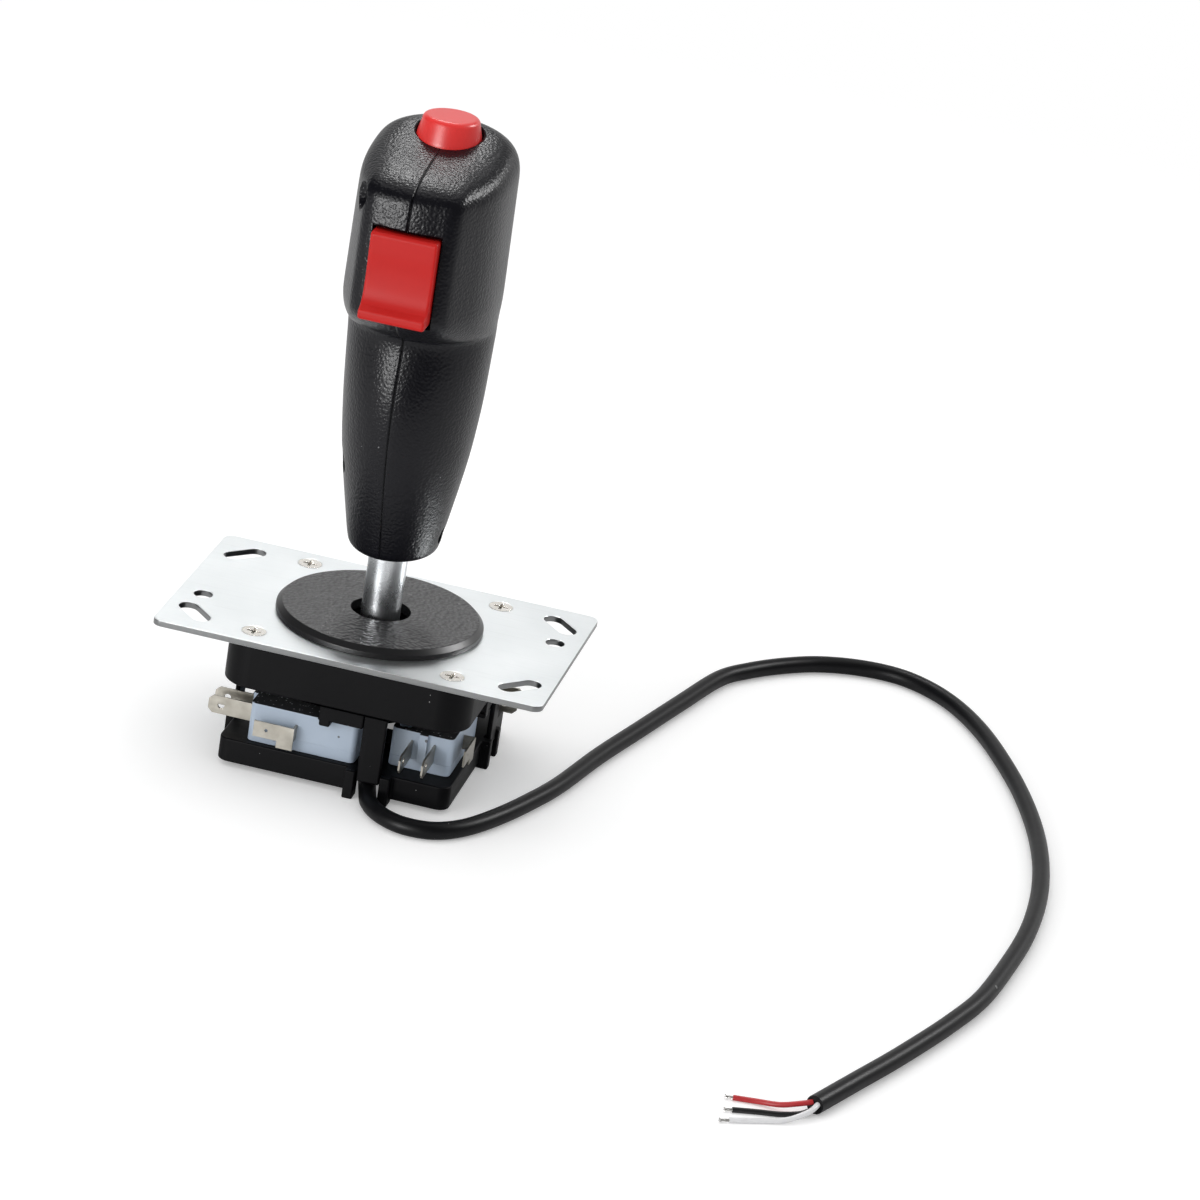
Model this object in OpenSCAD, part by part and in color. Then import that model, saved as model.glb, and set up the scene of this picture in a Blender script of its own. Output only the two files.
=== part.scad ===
// Arcade flight joystick: a pistol grip with trigger and thumb button on a panel-mount,
// four-switch base. Millimetres. The origin is the centre of the mounting plate's top face,
// +Z runs up the shaft and the trigger faces -Y.

/* [Mounting plate] */
// Long side of the plate
plate_w = 100; // [94:1:110]
// Short side of the plate
plate_d = 65; // [64:0.5:72]
// Thickness of the sheet
plate_t = 1.6; // [1.2:0.1:2.5]
// Corner radius of the plate
plate_corner_r = 2.5; // [1:0.5:5]
// Radius of the opening around the ball
plate_opening_r = 11; // [10:0.5:16]
// Side of the square of countersunk screws
screw_pitch = 51; // [50:0.5:52]
// Spacing of the slots along the plate
slot_pitch_x = 84; // [80:1:86]
// Spacing of the slots across the plate
slot_pitch_y = 44; // [42:1:48]
// End-to-end length of a slot
slot_len = 12; // [8:0.5:13]
// Width of a slot
slot_width = 5; // [4:0.25:6]
// Angle of a slot to the long side
slot_angle = 48; // [30:1:60]
// Spacing of the two round panel holes along the plate
panel_hole_pitch_x = 87; // [84:1:90]
// Spacing of the two round panel holes across the plate
panel_hole_pitch_y = 19.6; // [14:0.2:24]
// Diameter of the round panel holes
panel_hole_d = 4.8; // [4:0.1:5.5]

/* [Dust washer] */
// Outer radius of the washer
washer_r = 26.3; // [20:0.1:28]
// Thickness of the washer
washer_t = 2.6; // [1.5:0.1:3]
// Width of the bevel on its rim
washer_bevel = 1.3; // [0.5:0.1:2]
// Radius of its hole
washer_hole_r = 7.6; // [7.4:0.1:9]

/* [Housing] */
// Side of the square upper housing
housing_w = 63.4; // [62.6:0.2:64]
// Height of the upper housing
housing_h = 11.4; // [11:0.2:13]
// Corner radius of the upper housing
housing_corner_r = 8; // [6:0.5:8]
// Wall of the upper housing
housing_wall = 2; // [1.5:0.1:2.4]
// Thickness of the deck under the plate
deck_t = 2.2; // [1.5:0.1:3]
// Clear height between housing and switches
switch_gap = 4.9; // [4:0.1:6]
// Width of a corner-side post
post_w = 5.9; // [5:0.1:6]
// How far the tray's sides stand in from the housing's
tray_inset = 1.7; // [1.4:0.1:2]
// Height of the tray's rim
tray_h = 6.2; // [5.8:0.1:8]
// Thickness of the tray's floor
tray_floor_t = 1.5; // [1:0.1:1.8]
// Wall of the tray's rim
tray_wall = 1.8; // [1.2:0.1:2.4]
// How far the ribs stand below the rim
foot_h = 1.4; // [1.2:0.1:2]

/* [Switches] */
// Length of a switch body
switch_len = 27.8; // [26:0.2:29]
// Depth of a switch body behind its plunger face
switch_depth = 15.9; // [15:0.1:17]
// Thickness of a switch body
switch_t = 10.2; // [9.6:0.1:11]
// Thickness of the cover under the case
switch_cover_t = 3; // [2:0.1:3.2]
// Distance from the shaft's axis to a plunger face
switch_reach = 12.1; // [12:0.05:12.4]
// Distance from the plunger to the near end of the body
plunger_offset = 4.6; // [4.2:0.1:6]
// Diameter of a plunger
plunger_d = 2.4; // [1.8:0.1:2.6]
// How far a plunger stands out
plunger_out = 0.8; // [0.6:0.05:0.9]
// Length of a side tab
tab_len = 11.9; // [6:0.1:12.5]
// Height of a tab
tab_h = 4.7; // [4:0.1:4.8]
// Thickness of a tab
tab_t = 0.5; // [0.4:0.1:0.8]

/* [Shaft and pivot] */
// Diameter of the shaft
shaft_d = 10; // [9:0.1:10.2]
// Diameter of the shaft's bore
shaft_bore_d = 6; // [5:0.1:6.4]
// Height of the shaft's top end above the plate
shaft_top = 36; // [34:0.5:37]
// Depth of the pivot point below the plate's top face
pivot_depth = 7; // [6.8:0.1:7.6]
// Radius of the pivot ball
ball_r = 9; // [8.6:0.1:9.2]
// Diameter of the pivot pins
pin_d = 3; // [2:0.1:3.4]
// Length of the centring spring as fitted
spring_len = 5.6; // [5.4:0.1:5.8]
// Wire of the centring spring
spring_wire = 1; // [0.6:0.1:1.2]
// Radius of the actuator that works the switches
actuator_r = 8.4; // [7.5:0.1:8.5]

/* [Grip] */
// Height of the grip's lower end above the plate
grip_bottom = 19.3; // [18.5:0.1:20]
// Height of the grip's crown above the plate, on the shaft's axis
grip_top = 128.4; // [126:0.2:130]
// How steeply the crown falls towards the nose
crown_angle = 14.5; // [10:0.5:18]
// Half width of the grip at its lower end
grip_foot_r = 11.7; // [11:0.1:13]
// Half width of the grip at its waist
grip_waist_r = 16; // [15:0.1:17]
// Half width of the grip under its head
grip_neck_r = 18.4; // [18:0.1:20]
// How far the finger swell reaches forward
grip_swell = 20.6; // [19:0.1:22]
// How far the head's nose reaches forward
nose_reach = 32.5; // [31.5:0.1:34]
// Half width of the nose
nose_half_w = 13.2; // [13:0.1:14.5]
// Corner radius of the nose
nose_corner_r = 4.2; // [3:0.1:5]
// How far the head reaches back
head_back = 17; // [16:0.1:20]
// Wall of the grip
grip_wall = 2.2; // [2:0.1:2.4]
// Diameter of the screw counterbores
counterbore_d = 6.8; // [6:0.1:7.2]

/* [Thumb button and trigger] */
// Diameter of the thumb button
button_d = 16.2; // [15:0.1:16.6]
// How far the thumb button stands out of the crown
button_out = 4.2; // [3.5:0.1:5]
// Travel of the thumb button
button_travel = 2.2; // [1:0.1:2.4]
// Width of the trigger
trigger_w = 16.6; // [14:0.1:17]
// Height of the trigger
trigger_h = 21.4; // [20:0.2:23]
// How far the trigger's face stands out of the nose
trigger_out = 2; // [1:0.1:2.5]
// How far the trigger's lip stands out beyond its face
trigger_lip = 2; // [1.5:0.1:2.5]

/* [Cable] */
// Diameter of the cable
cable_d = 4.5; // [4:0.1:4.6]
// Diameter of one insulated core
core_d = 1.3; // [1:0.1:1.5]

/* [Hidden] */
$fn = 48;

// Fits
eps = 0.01;
run_gap = 0.05;
ball_gap = 0.1;
slide_gap = 0.2;
clear_gap = 0.3;
over = 1;

// Heights of the base, from the plate downwards
plate_bottom = -plate_t;
housing_bottom = plate_bottom - housing_h;
switch_top = housing_bottom - switch_gap;
switch_bottom = switch_top - switch_t;
tray_bottom = switch_bottom - tray_h;
floor_z = tray_bottom - foot_h;
pivot_z = -pivot_depth;
plunger_z = switch_bottom + switch_t / 2;
housing_half = housing_w / 2;
tray_w = housing_w - 2 * tray_inset;
tray_half = tray_w / 2;

// Plate screws
screw_head_r = 3.1;
screw_r = 1.6;
screw_len = 9;
screw_cone_h = 1.5;
recess_w = 0.7;
recess_len = 3.6;
recess_depth = 0.9;

// Ball socket of the housing
boss_r = ball_r + 5;
socket_hole_r = ball_r - 1.9;
skirt_r = boss_r + 0.5;
skirt_wall = 1.5;
pin_tip = ball_r + 2.8;
pin_root = shaft_bore_d / 2 + 0.3;
pin_slot_drop = 3.8;
ball_flat = ball_r / 2;

// Snap posts, lips and ribs on each side of the base
post_mid = 9.45;
post_t = 1.3;
post_outer = housing_half - slide_gap;
hook_h = 1.1;
hook_in = 1.7;
lip_from = -5;
lip_to = 6.4;
lip_t = 3.3;
lip_h = 3.9;
nub_from = -4.8;
nub_w = 2.8;
nub_h = 1.5;
rib_w = 2.7;
rib_out = 2.3;
notch_w = post_w + 2 * slide_gap;

// Gate inside the tray
actuator_step = plunger_z - plunger_d / 2 - slide_gap;
actuator_bottom = actuator_step - 1;
actuator_top = housing_bottom - spring_len;
actuator_neck_r = shaft_d / 2 + 1.6;
gate_half = actuator_neck_r + 3;
gate_outer = gate_half + 1.6;
gate_top = plunger_z - plunger_d / 2 - clear_gap;
ring_t = 0.8;
ring_r = shaft_d / 2 + 1.4;
groove_r = shaft_d / 2 - 0.8;
shaft_bottom = actuator_bottom - ring_t - 0.6;

// Switch details
switch_near = plunger_offset;
switch_far = plunger_offset - switch_len;
switch_outer = switch_reach + switch_depth;
hole_d = 3.1;
peg_d = hole_d - 2 * run_gap - 0.1;
hole_a = [switch_near - 2.8, -switch_outer + 2.8];
hole_b = [switch_far + 2.8, -switch_reach - 2.8];
peg_top = switch_top - 1;
plunger_len = 4;
plunger_travel = 0.6;
tab_z = switch_bottom + switch_cover_t + tab_h / 2 + 0.2;
tab_rows = [switch_reach + 5.5, switch_reach + 11.3];
tab_hole_r = 0.85;
tab_hole_from_end = 3.3;
tab_chamfer = 1.1;
switch_corner_r = 1.4;
case_bottom = switch_bottom + switch_cover_t;
common_x = switch_far + 12;
common_out = 3;
common_len = 10.4;
common_h = 4.2;
common_root_len = 4.2;
common_root_drop = 1.8;
common_leg = [case_bottom + 0.2, case_bottom + 4];
barrier_w = 1.1;

// Grip shape
n_half = 26;
head_h = 47.4;
ledge_h = 9.5;
crown_h = 10.8;
waist_rise = 26.7;
swell_rise = 40.7;
head_bottom = grip_top - head_h;
head_edge = head_bottom + ledge_h;
crown_start = grip_top - crown_h;
crown_r = 7.2;
crown_slope = tan(crown_angle);
crown_side_power = 3.2;
crown_front_power = 1.95;
ledge_power = 1.5;
flank_power = 2.8;
head_taper = 0.4;
foot_shift = 3;
swell_shift = 2.4;
waist_z = grip_bottom + waist_rise;
swell_z = grip_bottom + swell_rise;
floor_t = 4;
inner_bottom = grip_bottom + floor_t;
inner_top = grip_top - grip_wall;
core_inset = grip_wall / 2;
socket_top = shaft_top - 2;
socket_r = shaft_d / 2 + 4;
grip_heights = concat(
    [0, 0.7, 2.2],
    [for (i = [1:9]) 2.2 + (head_bottom - grip_bottom - 2.2) * i / 9],
    [for (t = [0.08, 0.2, 0.38, 0.58, 0.8, 1]) head_bottom - grip_bottom + (head_edge - head_bottom) * t],
    [for (i = [1:5]) head_edge - grip_bottom + (crown_start - head_edge) * i / 5],
    [for (i = [1:10]) crown_start - grip_bottom + (grip_top - crown_start) * sin(9 * i)]
);

// Screws, pin and switches inside the grip
screw_low_rise = 22.7;
screw_high_drop = 11.8;
set_screw_rise = 5.7;
screw_low = [-5.5, grip_bottom + screw_low_rise];
screw_high = [-nose_reach + 6.5, grip_top - screw_high_drop];
grip_screws_at = [screw_low, screw_high];
grip_screw_r = 1.5;
grip_head_r = 2.8;
grip_head_h = 2;
grip_boss_r = counterbore_d / 2 + 0.8;
grip_thread_r = grip_screw_r + 1.5;
seat_x = 9.6;
seat_t = 1.8;
screw_tip = 9;
set_screw_z = grip_bottom + set_screw_rise;
set_screw_turn = 12;
set_screw_r = 2;
set_access_r = 2.6;
button_r = button_d / 2;
button_hole_r = button_r + clear_gap;
collar_r = button_hole_r + 1.4;
collar_drop = 6.6;
collar_bottom = grip_top - collar_drop;
button_taper = 1;
button_taper_drop = 1.4;
button_edge_r = 1.3;
flange_r = button_r + 1.8;
flange_t = 1.4;
flange_top = collar_bottom - clear_gap;
shelf_top = flange_top - flange_t - 4.2;
shelf_t = 1.4;
shelf_half_d = 5;
stem_r = 2.6;
stem_bottom = shelf_top - clear_gap;
thumb_switch_top = stem_bottom - button_travel - 1.2;
mini_len = 19.8;
mini_t = 6.4;
mini_h = 10.2;
mini_peg_pitch = 9.5;
mini_peg_r = 1;
mini_nub_r = 0.9;
mini_pin_len = 2.4;
trigger_drop = 17.3;
trigger_top = grip_top - trigger_drop;
trigger_pin_at = [-nose_reach + 4.5, trigger_top - 2.8];
trigger_pin_r = 1.5;
trigger_ear_r = 3;
trigger_back = -nose_reach + 6;
trigger_face = -nose_reach - trigger_out;
trigger_chamfer = 1.1;
trigger_depth = 3.2;
window_gap = 0.3;
window_low = 1.3;
window_depth = trigger_back + nose_reach + 2.5;
scoop_r = 30;
scoop_depth = 1.1;
trigger_switch_at = [trigger_back + 3.2 + mini_h / 2, trigger_top - 14];
thumb_switch_at = [0, thumb_switch_top - mini_h / 2];
mini_pegs_at = [
    for (s = [-1, 1])
        each [trigger_switch_at + [0, s * mini_peg_pitch / 2], thumb_switch_at + [s * mini_peg_pitch / 2, 0]]
];
spring_post_x = 6;
spring_post_y = trigger_back + 8.4;
spring_post_z = trigger_top - 8.2;
spring_post_t = 2;
spring_post_h = 5;

// Route of the cable: out under the shaft, through the front notch, and along the floor
rest_z = floor_z + cable_d / 2;
cable_rise = [4.2, 2.1, 0.5];
cable_route = concat(
    [
        [-0.4, 1.2, rest_z + cable_rise[0]], [0.2, -0.8, rest_z + cable_rise[1]],
        [1.2, -3.8, rest_z + cable_rise[2]]
    ],
    [for (p = [
        [2.4, -8], [4.6, -15], [7.4, -22.5], [9.4, -29.5], [11.8, -36.5], [16.6, -42], [23, -44.8],
        [30.5, -43.6], [37, -37.4], [43, -26], [48, -13], [52, 0], [57, 23], [63, 46], [69, 69], [75, 91],
        [81, 101], [89, 110], [98, 117], [109, 121], [120, 121], [130, 116], [139, 107], [148, 93],
        [157, 74], [164, 56], [170, 36], [174, 16], [176, -4], [176, -25], [174, -46], [171, -66],
        [166, -83], [161, -97], [156, -110], [151, -122], [144, -139]
    ]) [p[0], p[1], rest_z]]
);
core_exit = [144, -139, rest_z];
red_route = [[-0.7, 0.3, 0.4], [-3.4, -1.6, 0.2], [-7.5, -2.3, -0.8], [-13, -2, -1.5], [-20, -3, -1.6]];
black_route = [[0, 0, -0.9], [-2.2, -3, -1.3], [-6.6, -5.2, -1.6], [-12, -6.8, -1.6], [-19, -9.2, -1.6]];
white_route = [
    [0.7, -0.3, 0.4], [-0.7, -3.8, -0.2], [-4.8, -7.8, -1.3], [-10.8, -10.8, -1.6], [-19, -14.8, -1.6]
];
lead_top = trigger_top - 28;

// Numbers and shapes that several pieces use

function clamp01(t) = min(1, max(0, t));

function mix(a, b, t) = a + (b - a) * t;

// Height-by-height half outlines of the grip, from the front seam round to the back seam
function oval_half(half_w, front, back) = [
    for (i = [0:n_half - 1])
        let (t = 180 * i / (n_half - 1))
        [half_w * sin(t), -(t < 90 ? front : back) * cos(t)]
];

function head_half(half_w, back, nose_w, reach, corner_r) =
    let (flare = atan(flank_power * (half_w - nose_w) / (reach - corner_r)))
    concat(
        [for (i = [0:2]) [(nose_w - corner_r) * i / 3, -reach]],
        [for (i = [0:5])
            let (a = (90 - flare) * i / 5)
            [nose_w - corner_r + corner_r * sin(a), -reach + corner_r - corner_r * cos(a)]],
        [for (i = [1:6])
            let (t = 1 - i / 7)
            [mix(nose_w, half_w, 1 - pow(t, flank_power)), (corner_r - reach) * t]],
        [for (i = [0:10]) [half_w * cos(9 * i), back * sin(9 * i)]]
    );

grip_widths = [
    [grip_bottom, grip_foot_r - 1.7], [grip_bottom + 0.7, grip_foot_r - 0.6],
    [grip_bottom + 2.2, grip_foot_r], [waist_z - 10, grip_waist_r - 1.7], [waist_z, grip_waist_r],
    [swell_z, mix(grip_waist_r, grip_neck_r, 0.55)], [head_bottom - 6, grip_neck_r - 0.3],
    [head_bottom, grip_neck_r]
];
grip_fronts = [
    [grip_bottom, grip_foot_r - 2], [grip_bottom + 0.7, grip_foot_r - 1],
    [grip_bottom + 2.2, grip_foot_r - 0.4],
    [waist_z - 10, grip_swell - 4.9], [waist_z, grip_swell - 2.1], [swell_z - 2, grip_swell - 0.1],
    [swell_z + 6, grip_swell], [head_bottom - 6, grip_swell - 1.4], [head_bottom, grip_swell - 2.4]
];

// How far the widest part of the lower grip lies behind the shaft's axis
grip_shifts = [[grip_bottom, foot_shift], [swell_z, swell_shift], [head_bottom, 0]];

// A curve from 0 to 1 that leaves square-on and arrives level, and its mirror image
function round_in(t, power) = pow(1 - pow(1 - t, power), 1 / power);

function round_over(t, power) = 1 - pow(1 - pow(t, power), 1 / power);

// Half outline at one height, moved in by the wall thickness for the hollow; the crown's rings tilt forward
function grip_half(z, wall) =
    let (half_w = lookup(z, grip_widths) - wall)
    let (shift = lookup(z, grip_shifts))
    let (oval = oval_half(half_w, lookup(z, grip_fronts) - wall + shift, half_w - shift))
    let (lower = [for (p = oval) p + [0, shift]])
    let (ledge_at = clamp01((z - head_bottom - 1.2 * wall) / (head_edge - head_bottom)))
    let (ledge = round_in(ledge_at, ledge_power))
    let (head_rise = clamp01((z - head_edge) / (crown_start - head_edge)))
    let (head_w = grip_neck_r + 0.4 - head_taper * head_rise - wall)
    let (nose_w = nose_half_w - wall, reach = nose_reach - wall, corner_r = nose_corner_r - wall / 2)
    let (head = head_half(head_w, head_back - wall, nose_w, reach, corner_r))
    let (rise = clamp01((z + wall - crown_start) / crown_h))
    let (side_rise = round_over(rise, crown_side_power), front_rise = round_over(rise, crown_front_power))
    let (body = mix(lower, head, ledge), crown = oval_half(crown_r, crown_r, crown_r))
    [for (i = [0:n_half - 1])
        let (x = mix(body[i][0], crown[i][0], side_rise), y = mix(body[i][1], crown[i][1], front_rise))
        [x, y, z + crown_slope * y * front_rise]];

function at_height(outline, z) = [for (p = outline) [p[0], p[1], z]];

function backwards(list) = [for (i = [len(list) - 1:-1:0]) list[i]];

// A round tube swept along a route, as one closed solid
function route_dir(route, i) =
    let (step = route[min(i + 1, len(route) - 1)] - route[max(i - 1, 0)])
    step / norm(step);

function tube_ring(centre, dir, radius, sides) =
    let (side_dir = cross(dir, [0, 0, 1]))
    let (u = side_dir / norm(side_dir), v = cross(dir, u))
    [for (k = [0:sides - 1]) centre + radius * (u * cos(360 * k / sides) + v * sin(360 * k / sides))];

function spline_point(a, b, c, d, t) =
    b + 0.5 * t * ((c - a) + t * ((2 * a - 5 * b + 4 * c - d) + t * (3 * (b - c) + d - a)));

function smooth_route(route, steps) = concat(
    [for (i = [0:len(route) - 2], s = [0:steps - 1])
        let (before = route[max(i - 1, 0)], after = route[min(i + 2, len(route) - 1)])
        spline_point(before, route[i], route[i + 1], after, s / steps)],
    [route[len(route) - 1]]
);

module tube(route, radius, sides) {
    last = len(route) - 1;
    rings = [for (i = [0:last]) tube_ring(route[i], route_dir(route, i), radius, sides)];
    walls = [for (i = [0:last - 1], k = [0:sides - 1])
        let (next = (k + 1) % sides, a = i * sides, b = a + sides)
        each [[a + k, b + k, b + next], [a + k, b + next, a + next]]];
    ends = [[for (k = [0:sides - 1]) k], [for (k = [sides - 1:-1:0]) last * sides + k]];
    polyhedron([for (ring = rings) each ring], concat(walls, ends), convexity = 10);
}

// A coil of wire about +Z that may taper from one radius to another
module coil(low_r, high_r, height, wire, turns) {
    steps = round(turns * 12);
    rise = height - wire - eps;
    route = [for (i = [0:steps])
        let (t = i / steps, r = mix(low_r, high_r, t), a = 360 * turns * t)
        [r * cos(a), r * sin(a), wire / 2 + rise * clamp01((t * turns - 0.4) / (turns - 0.8))]];
    tube(route, wire / 2, 6);
}

module rounded_square(w, d, r) {
    square([w - 2 * r, d], center = true);
    square([w, d - 2 * r], center = true);
    for (sx = [-1, 1], sy = [-1, 1])
        translate([sx * (w / 2 - r), sy * (d / 2 - r)])
            circle(r);
}

module slot_outline(len, width) {
    square([len - width, width], center = true);
    for (s = [-1, 1])
        translate([s * (len - width) / 2, 0])
            circle(width / 2);
}

module at_screws() {
    for (sx = [-1, 1], sy = [-1, 1])
        translate([sx * screw_pitch / 2, sy * screw_pitch / 2, 0])
            children();
}

module on_four_sides() {
    for (turn = [0:90:270])
        rotate(turn)
            children();
}

// A cylinder along X from one x to another at a point of the Y-Z plane
module rod_x(from, to, at, r) {
    translate([from, at[0], at[1]])
        rotate([0, 90, 0])
            cylinder(r = r, h = to - from);
}

// Base

module mounting_plate() {
    color("gainsboro")
    difference() {
        translate([0, 0, plate_bottom])
            linear_extrude(plate_t)
                difference() {
                    rounded_square(plate_w, plate_d, plate_corner_r);
                    circle(plate_opening_r);
                    for (sx = [-1, 1], sy = [-1, 1])
                        translate([sx * slot_pitch_x / 2, sy * slot_pitch_y / 2])
                            rotate(-sx * sy * slot_angle)
                                slot_outline(slot_len, slot_width);
                    for (s = [-1, 1])
                        translate([s * panel_hole_pitch_x / 2, s * panel_hole_pitch_y / 2])
                            circle(panel_hole_d / 2);
                }
        at_screws()
            translate([0, 0, -screw_cone_h])
                cylinder(r1 = screw_r + ball_gap, r2 = screw_head_r + ball_gap, h = screw_cone_h);
        at_screws()
            translate([0, 0, plate_bottom - over])
                cylinder(r = screw_r + ball_gap, h = plate_t + over - screw_cone_h + eps);
    }
}

module plate_screws() {
    color("silver")
    at_screws()
        difference() {
            union() {
                translate([0, 0, -screw_cone_h])
                    cylinder(r1 = screw_r, r2 = screw_head_r, h = screw_cone_h);
                translate([0, 0, -screw_len])
                    cylinder(r = screw_r, h = screw_len - screw_cone_h + eps);
            }
            for (turn = [0, 90])
                rotate(turn)
                    translate([-recess_len / 2, -recess_w / 2, -recess_depth])
                        cube([recess_len, recess_w, recess_depth + over]);
        }
}

module dust_washer() {
    color("dimgray")
    rotate_extrude()
        polygon([
            [washer_hole_r, 0], [washer_r, 0], [washer_r, washer_t - washer_bevel],
            [washer_r - washer_bevel, washer_t], [washer_hole_r, washer_t]
        ]);
}

// One side's lip, stop nub and snap post, drawn on the front side
module housing_side() {
    post_left = post_mid - post_w / 2;
    translate([lip_from, -post_outer, housing_bottom - lip_h])
        cube([lip_to - lip_from, lip_t, lip_h + over]);
    translate([nub_from, -post_outer, housing_bottom - lip_h - nub_h])
        cube([nub_w, lip_t, nub_h + over]);
    post_low = switch_bottom - tray_floor_t - slide_gap / 2 - hook_h;
    translate([post_left, -post_outer, post_low])
        cube([post_w, post_t, housing_bottom - post_low + over]);
    translate([post_left, -post_outer, post_low])
        cube([post_w, post_t + hook_in, hook_h]);
}

module upper_housing() {
    color([0.09, 0.09, 0.1])
    difference() {
        union() {
            difference() {
                translate([0, 0, housing_bottom])
                    linear_extrude(housing_h)
                        rounded_square(housing_w, housing_w, housing_corner_r);
                translate([0, 0, housing_bottom - over])
                    linear_extrude(housing_h - deck_t + over)
                        rounded_square(
                            housing_w - 2 * housing_wall, housing_w - 2 * housing_wall,
                            housing_corner_r - housing_wall
                        );
            }
            translate([0, 0, switch_top])
                cylinder(r = skirt_r, h = plate_bottom - switch_top);
            for (turn = [45:90:315])
                rotate(turn)
                    translate([boss_r - over, -housing_wall / 2, housing_bottom])
                        cube([screw_pitch / sqrt(2) - boss_r, housing_wall, housing_h - over]);
            at_screws()
                translate([0, 0, housing_bottom])
                    cylinder(r = screw_r + 2.2, h = housing_h - over);
            on_four_sides()
                housing_side();
        }
        translate([0, 0, pivot_z])
            sphere(r = ball_r + ball_gap);
        translate([0, 0, pivot_z])
            cylinder(r = ball_r + ball_gap, h = -pivot_z);
        translate([0, 0, housing_bottom - over])
            cylinder(r = socket_hole_r, h = pivot_z - housing_bottom);
        translate([0, 0, switch_top - over])
            cylinder(r = skirt_r - skirt_wall, h = switch_gap + over);
        translate([-pin_tip - 0.6, -pin_d / 2 - ball_gap, pivot_z - pin_slot_drop])
            cube([2 * pin_tip + 1.2, pin_d + 2 * ball_gap, pin_slot_drop - pivot_z]);
        at_screws()
            translate([0, 0, -screw_len - over])
                cylinder(r = screw_r + run_gap, h = screw_len + over);
    }
}

// One side's two ribs, which guide the snap post and stand on the floor
module tray_side() {
    for (x = [post_mid - notch_w / 2 - rib_w, post_mid + notch_w / 2])
        translate([x, -tray_half - rib_out, floor_z])
            cube([rib_w, rib_out + tray_wall, switch_bottom - floor_z]);
    for (at = [hole_a, hole_b])
        translate([at[0], at[1], switch_bottom - tray_floor_t / 2])
            cylinder(d = peg_d, h = peg_top - switch_bottom + tray_floor_t / 2);
}

module lower_tray() {
    corner_r = 3;
    color([0.08, 0.08, 0.09])
    difference() {
        union() {
            difference() {
                translate([0, 0, tray_bottom])
                    linear_extrude(tray_h)
                        rounded_square(tray_w, tray_w, corner_r);
                translate([0, 0, tray_bottom - over])
                    linear_extrude(tray_h - tray_floor_t + over)
                        rounded_square(tray_w - 2 * tray_wall, tray_w - 2 * tray_wall, corner_r - tray_wall);
            }
            translate([-gate_outer, -gate_outer, switch_bottom - tray_floor_t])
                cube([2 * gate_outer, 2 * gate_outer, gate_top - switch_bottom + tray_floor_t]);
            on_four_sides()
                tray_side();
        }
        translate([-gate_half, -gate_half, tray_bottom])
            cube([2 * gate_half, 2 * gate_half, gate_top - tray_bottom + over]);
        on_four_sides()
            translate([post_mid - notch_w / 2, -tray_half - over, floor_z - over])
                cube([notch_w, tray_wall + 2 * over, switch_bottom - tray_floor_t - floor_z + over]);
    }
}

// Switches, each drawn on the front side

module switch_holes(z, h) {
    for (at = [hole_a, hole_b])
        translate([at[0], at[1], z - over])
            cylinder(d = hole_d, h = h + 2 * over);
}

module switch_outline() {
    translate([switch_far + switch_len / 2, -switch_outer + switch_depth / 2])
        rounded_square(switch_len, switch_depth, switch_corner_r);
}

module switch_case() {
    case_h = switch_t - switch_cover_t;
    color("lightsteelblue")
    difference() {
        union() {
            translate([0, 0, case_bottom])
                linear_extrude(case_h)
                    switch_outline();
            translate([switch_far - barrier_w, -(tab_rows[0] + tab_rows[1]) / 2 - barrier_w, case_bottom])
                cube([barrier_w + over, 2 * barrier_w, case_h]);
        }
        switch_holes(case_bottom, case_h);
        translate([0, -switch_reach + over, plunger_z])
            rotate([90, 0, 0])
                cylinder(d = plunger_d + 2 * run_gap, h = plunger_len + over);
        for (y = tab_rows)
            translate([switch_far - over, -y - tab_t / 2, tab_z - tab_h / 2])
                cube([2 * over, tab_t, tab_h]);
        translate([common_x, -switch_outer - over, common_leg[0]])
            cube([tab_t, 2 * over, common_leg[1] - common_leg[0]]);
    }
}

module switch_cover() {
    color([0.6, 0.68, 0.78])
    difference() {
        translate([0, 0, switch_bottom])
            linear_extrude(switch_cover_t)
                switch_outline();
        switch_holes(switch_bottom, switch_cover_t);
    }
}

// A flat tab drawn in X-Z at one Y, reaching towards -X from a root
module tab_blade(root_x, y, z) {
    translate([root_x, y + tab_t / 2, z])
        rotate([90, 0, 0])
            mirror([1, 0, 0])
                linear_extrude(tab_t)
                    children();
}

module switch_tabs() {
    side_len = tab_len + over;
    color("lightgray") {
        for (y = tab_rows)
            tab_blade(switch_far + over, -y, tab_z)
                difference() {
                    polygon([
                        [0, -tab_h / 2], [side_len - tab_chamfer, -tab_h / 2],
                        [side_len, tab_chamfer - tab_h / 2], [side_len, tab_h / 2 - tab_chamfer],
                        [side_len - tab_chamfer, tab_h / 2], [0, tab_h / 2]
                    ]);
                    translate([side_len - tab_hole_from_end, 0])
                        circle(tab_hole_r);
                }
        translate([common_x, -switch_outer - common_out, common_leg[0]])
            cube([tab_t, common_out + over, common_leg[1] - common_leg[0]]);
        tab_blade(common_x + tab_t, -switch_outer - common_out + tab_t / 2, common_leg[1])
            difference() {
                polygon([
                    [0, 0], [common_len, 0], [common_len, -common_h], [common_root_len, -common_h],
                    [common_root_len, -common_h - common_root_drop], [0, -common_h - common_root_drop]
                ]);
                translate([common_len - tab_hole_from_end, -common_h / 2])
                    circle(tab_hole_r / 2);
            }
    }
}

module switch_plunger() {
    color("white")
    translate([0, -switch_reach + plunger_out, plunger_z])
        rotate([90, 0, 0])
            cylinder(d = plunger_d, h = plunger_len + plunger_out - plunger_travel - slide_gap);
}

// Shaft and pivot

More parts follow.
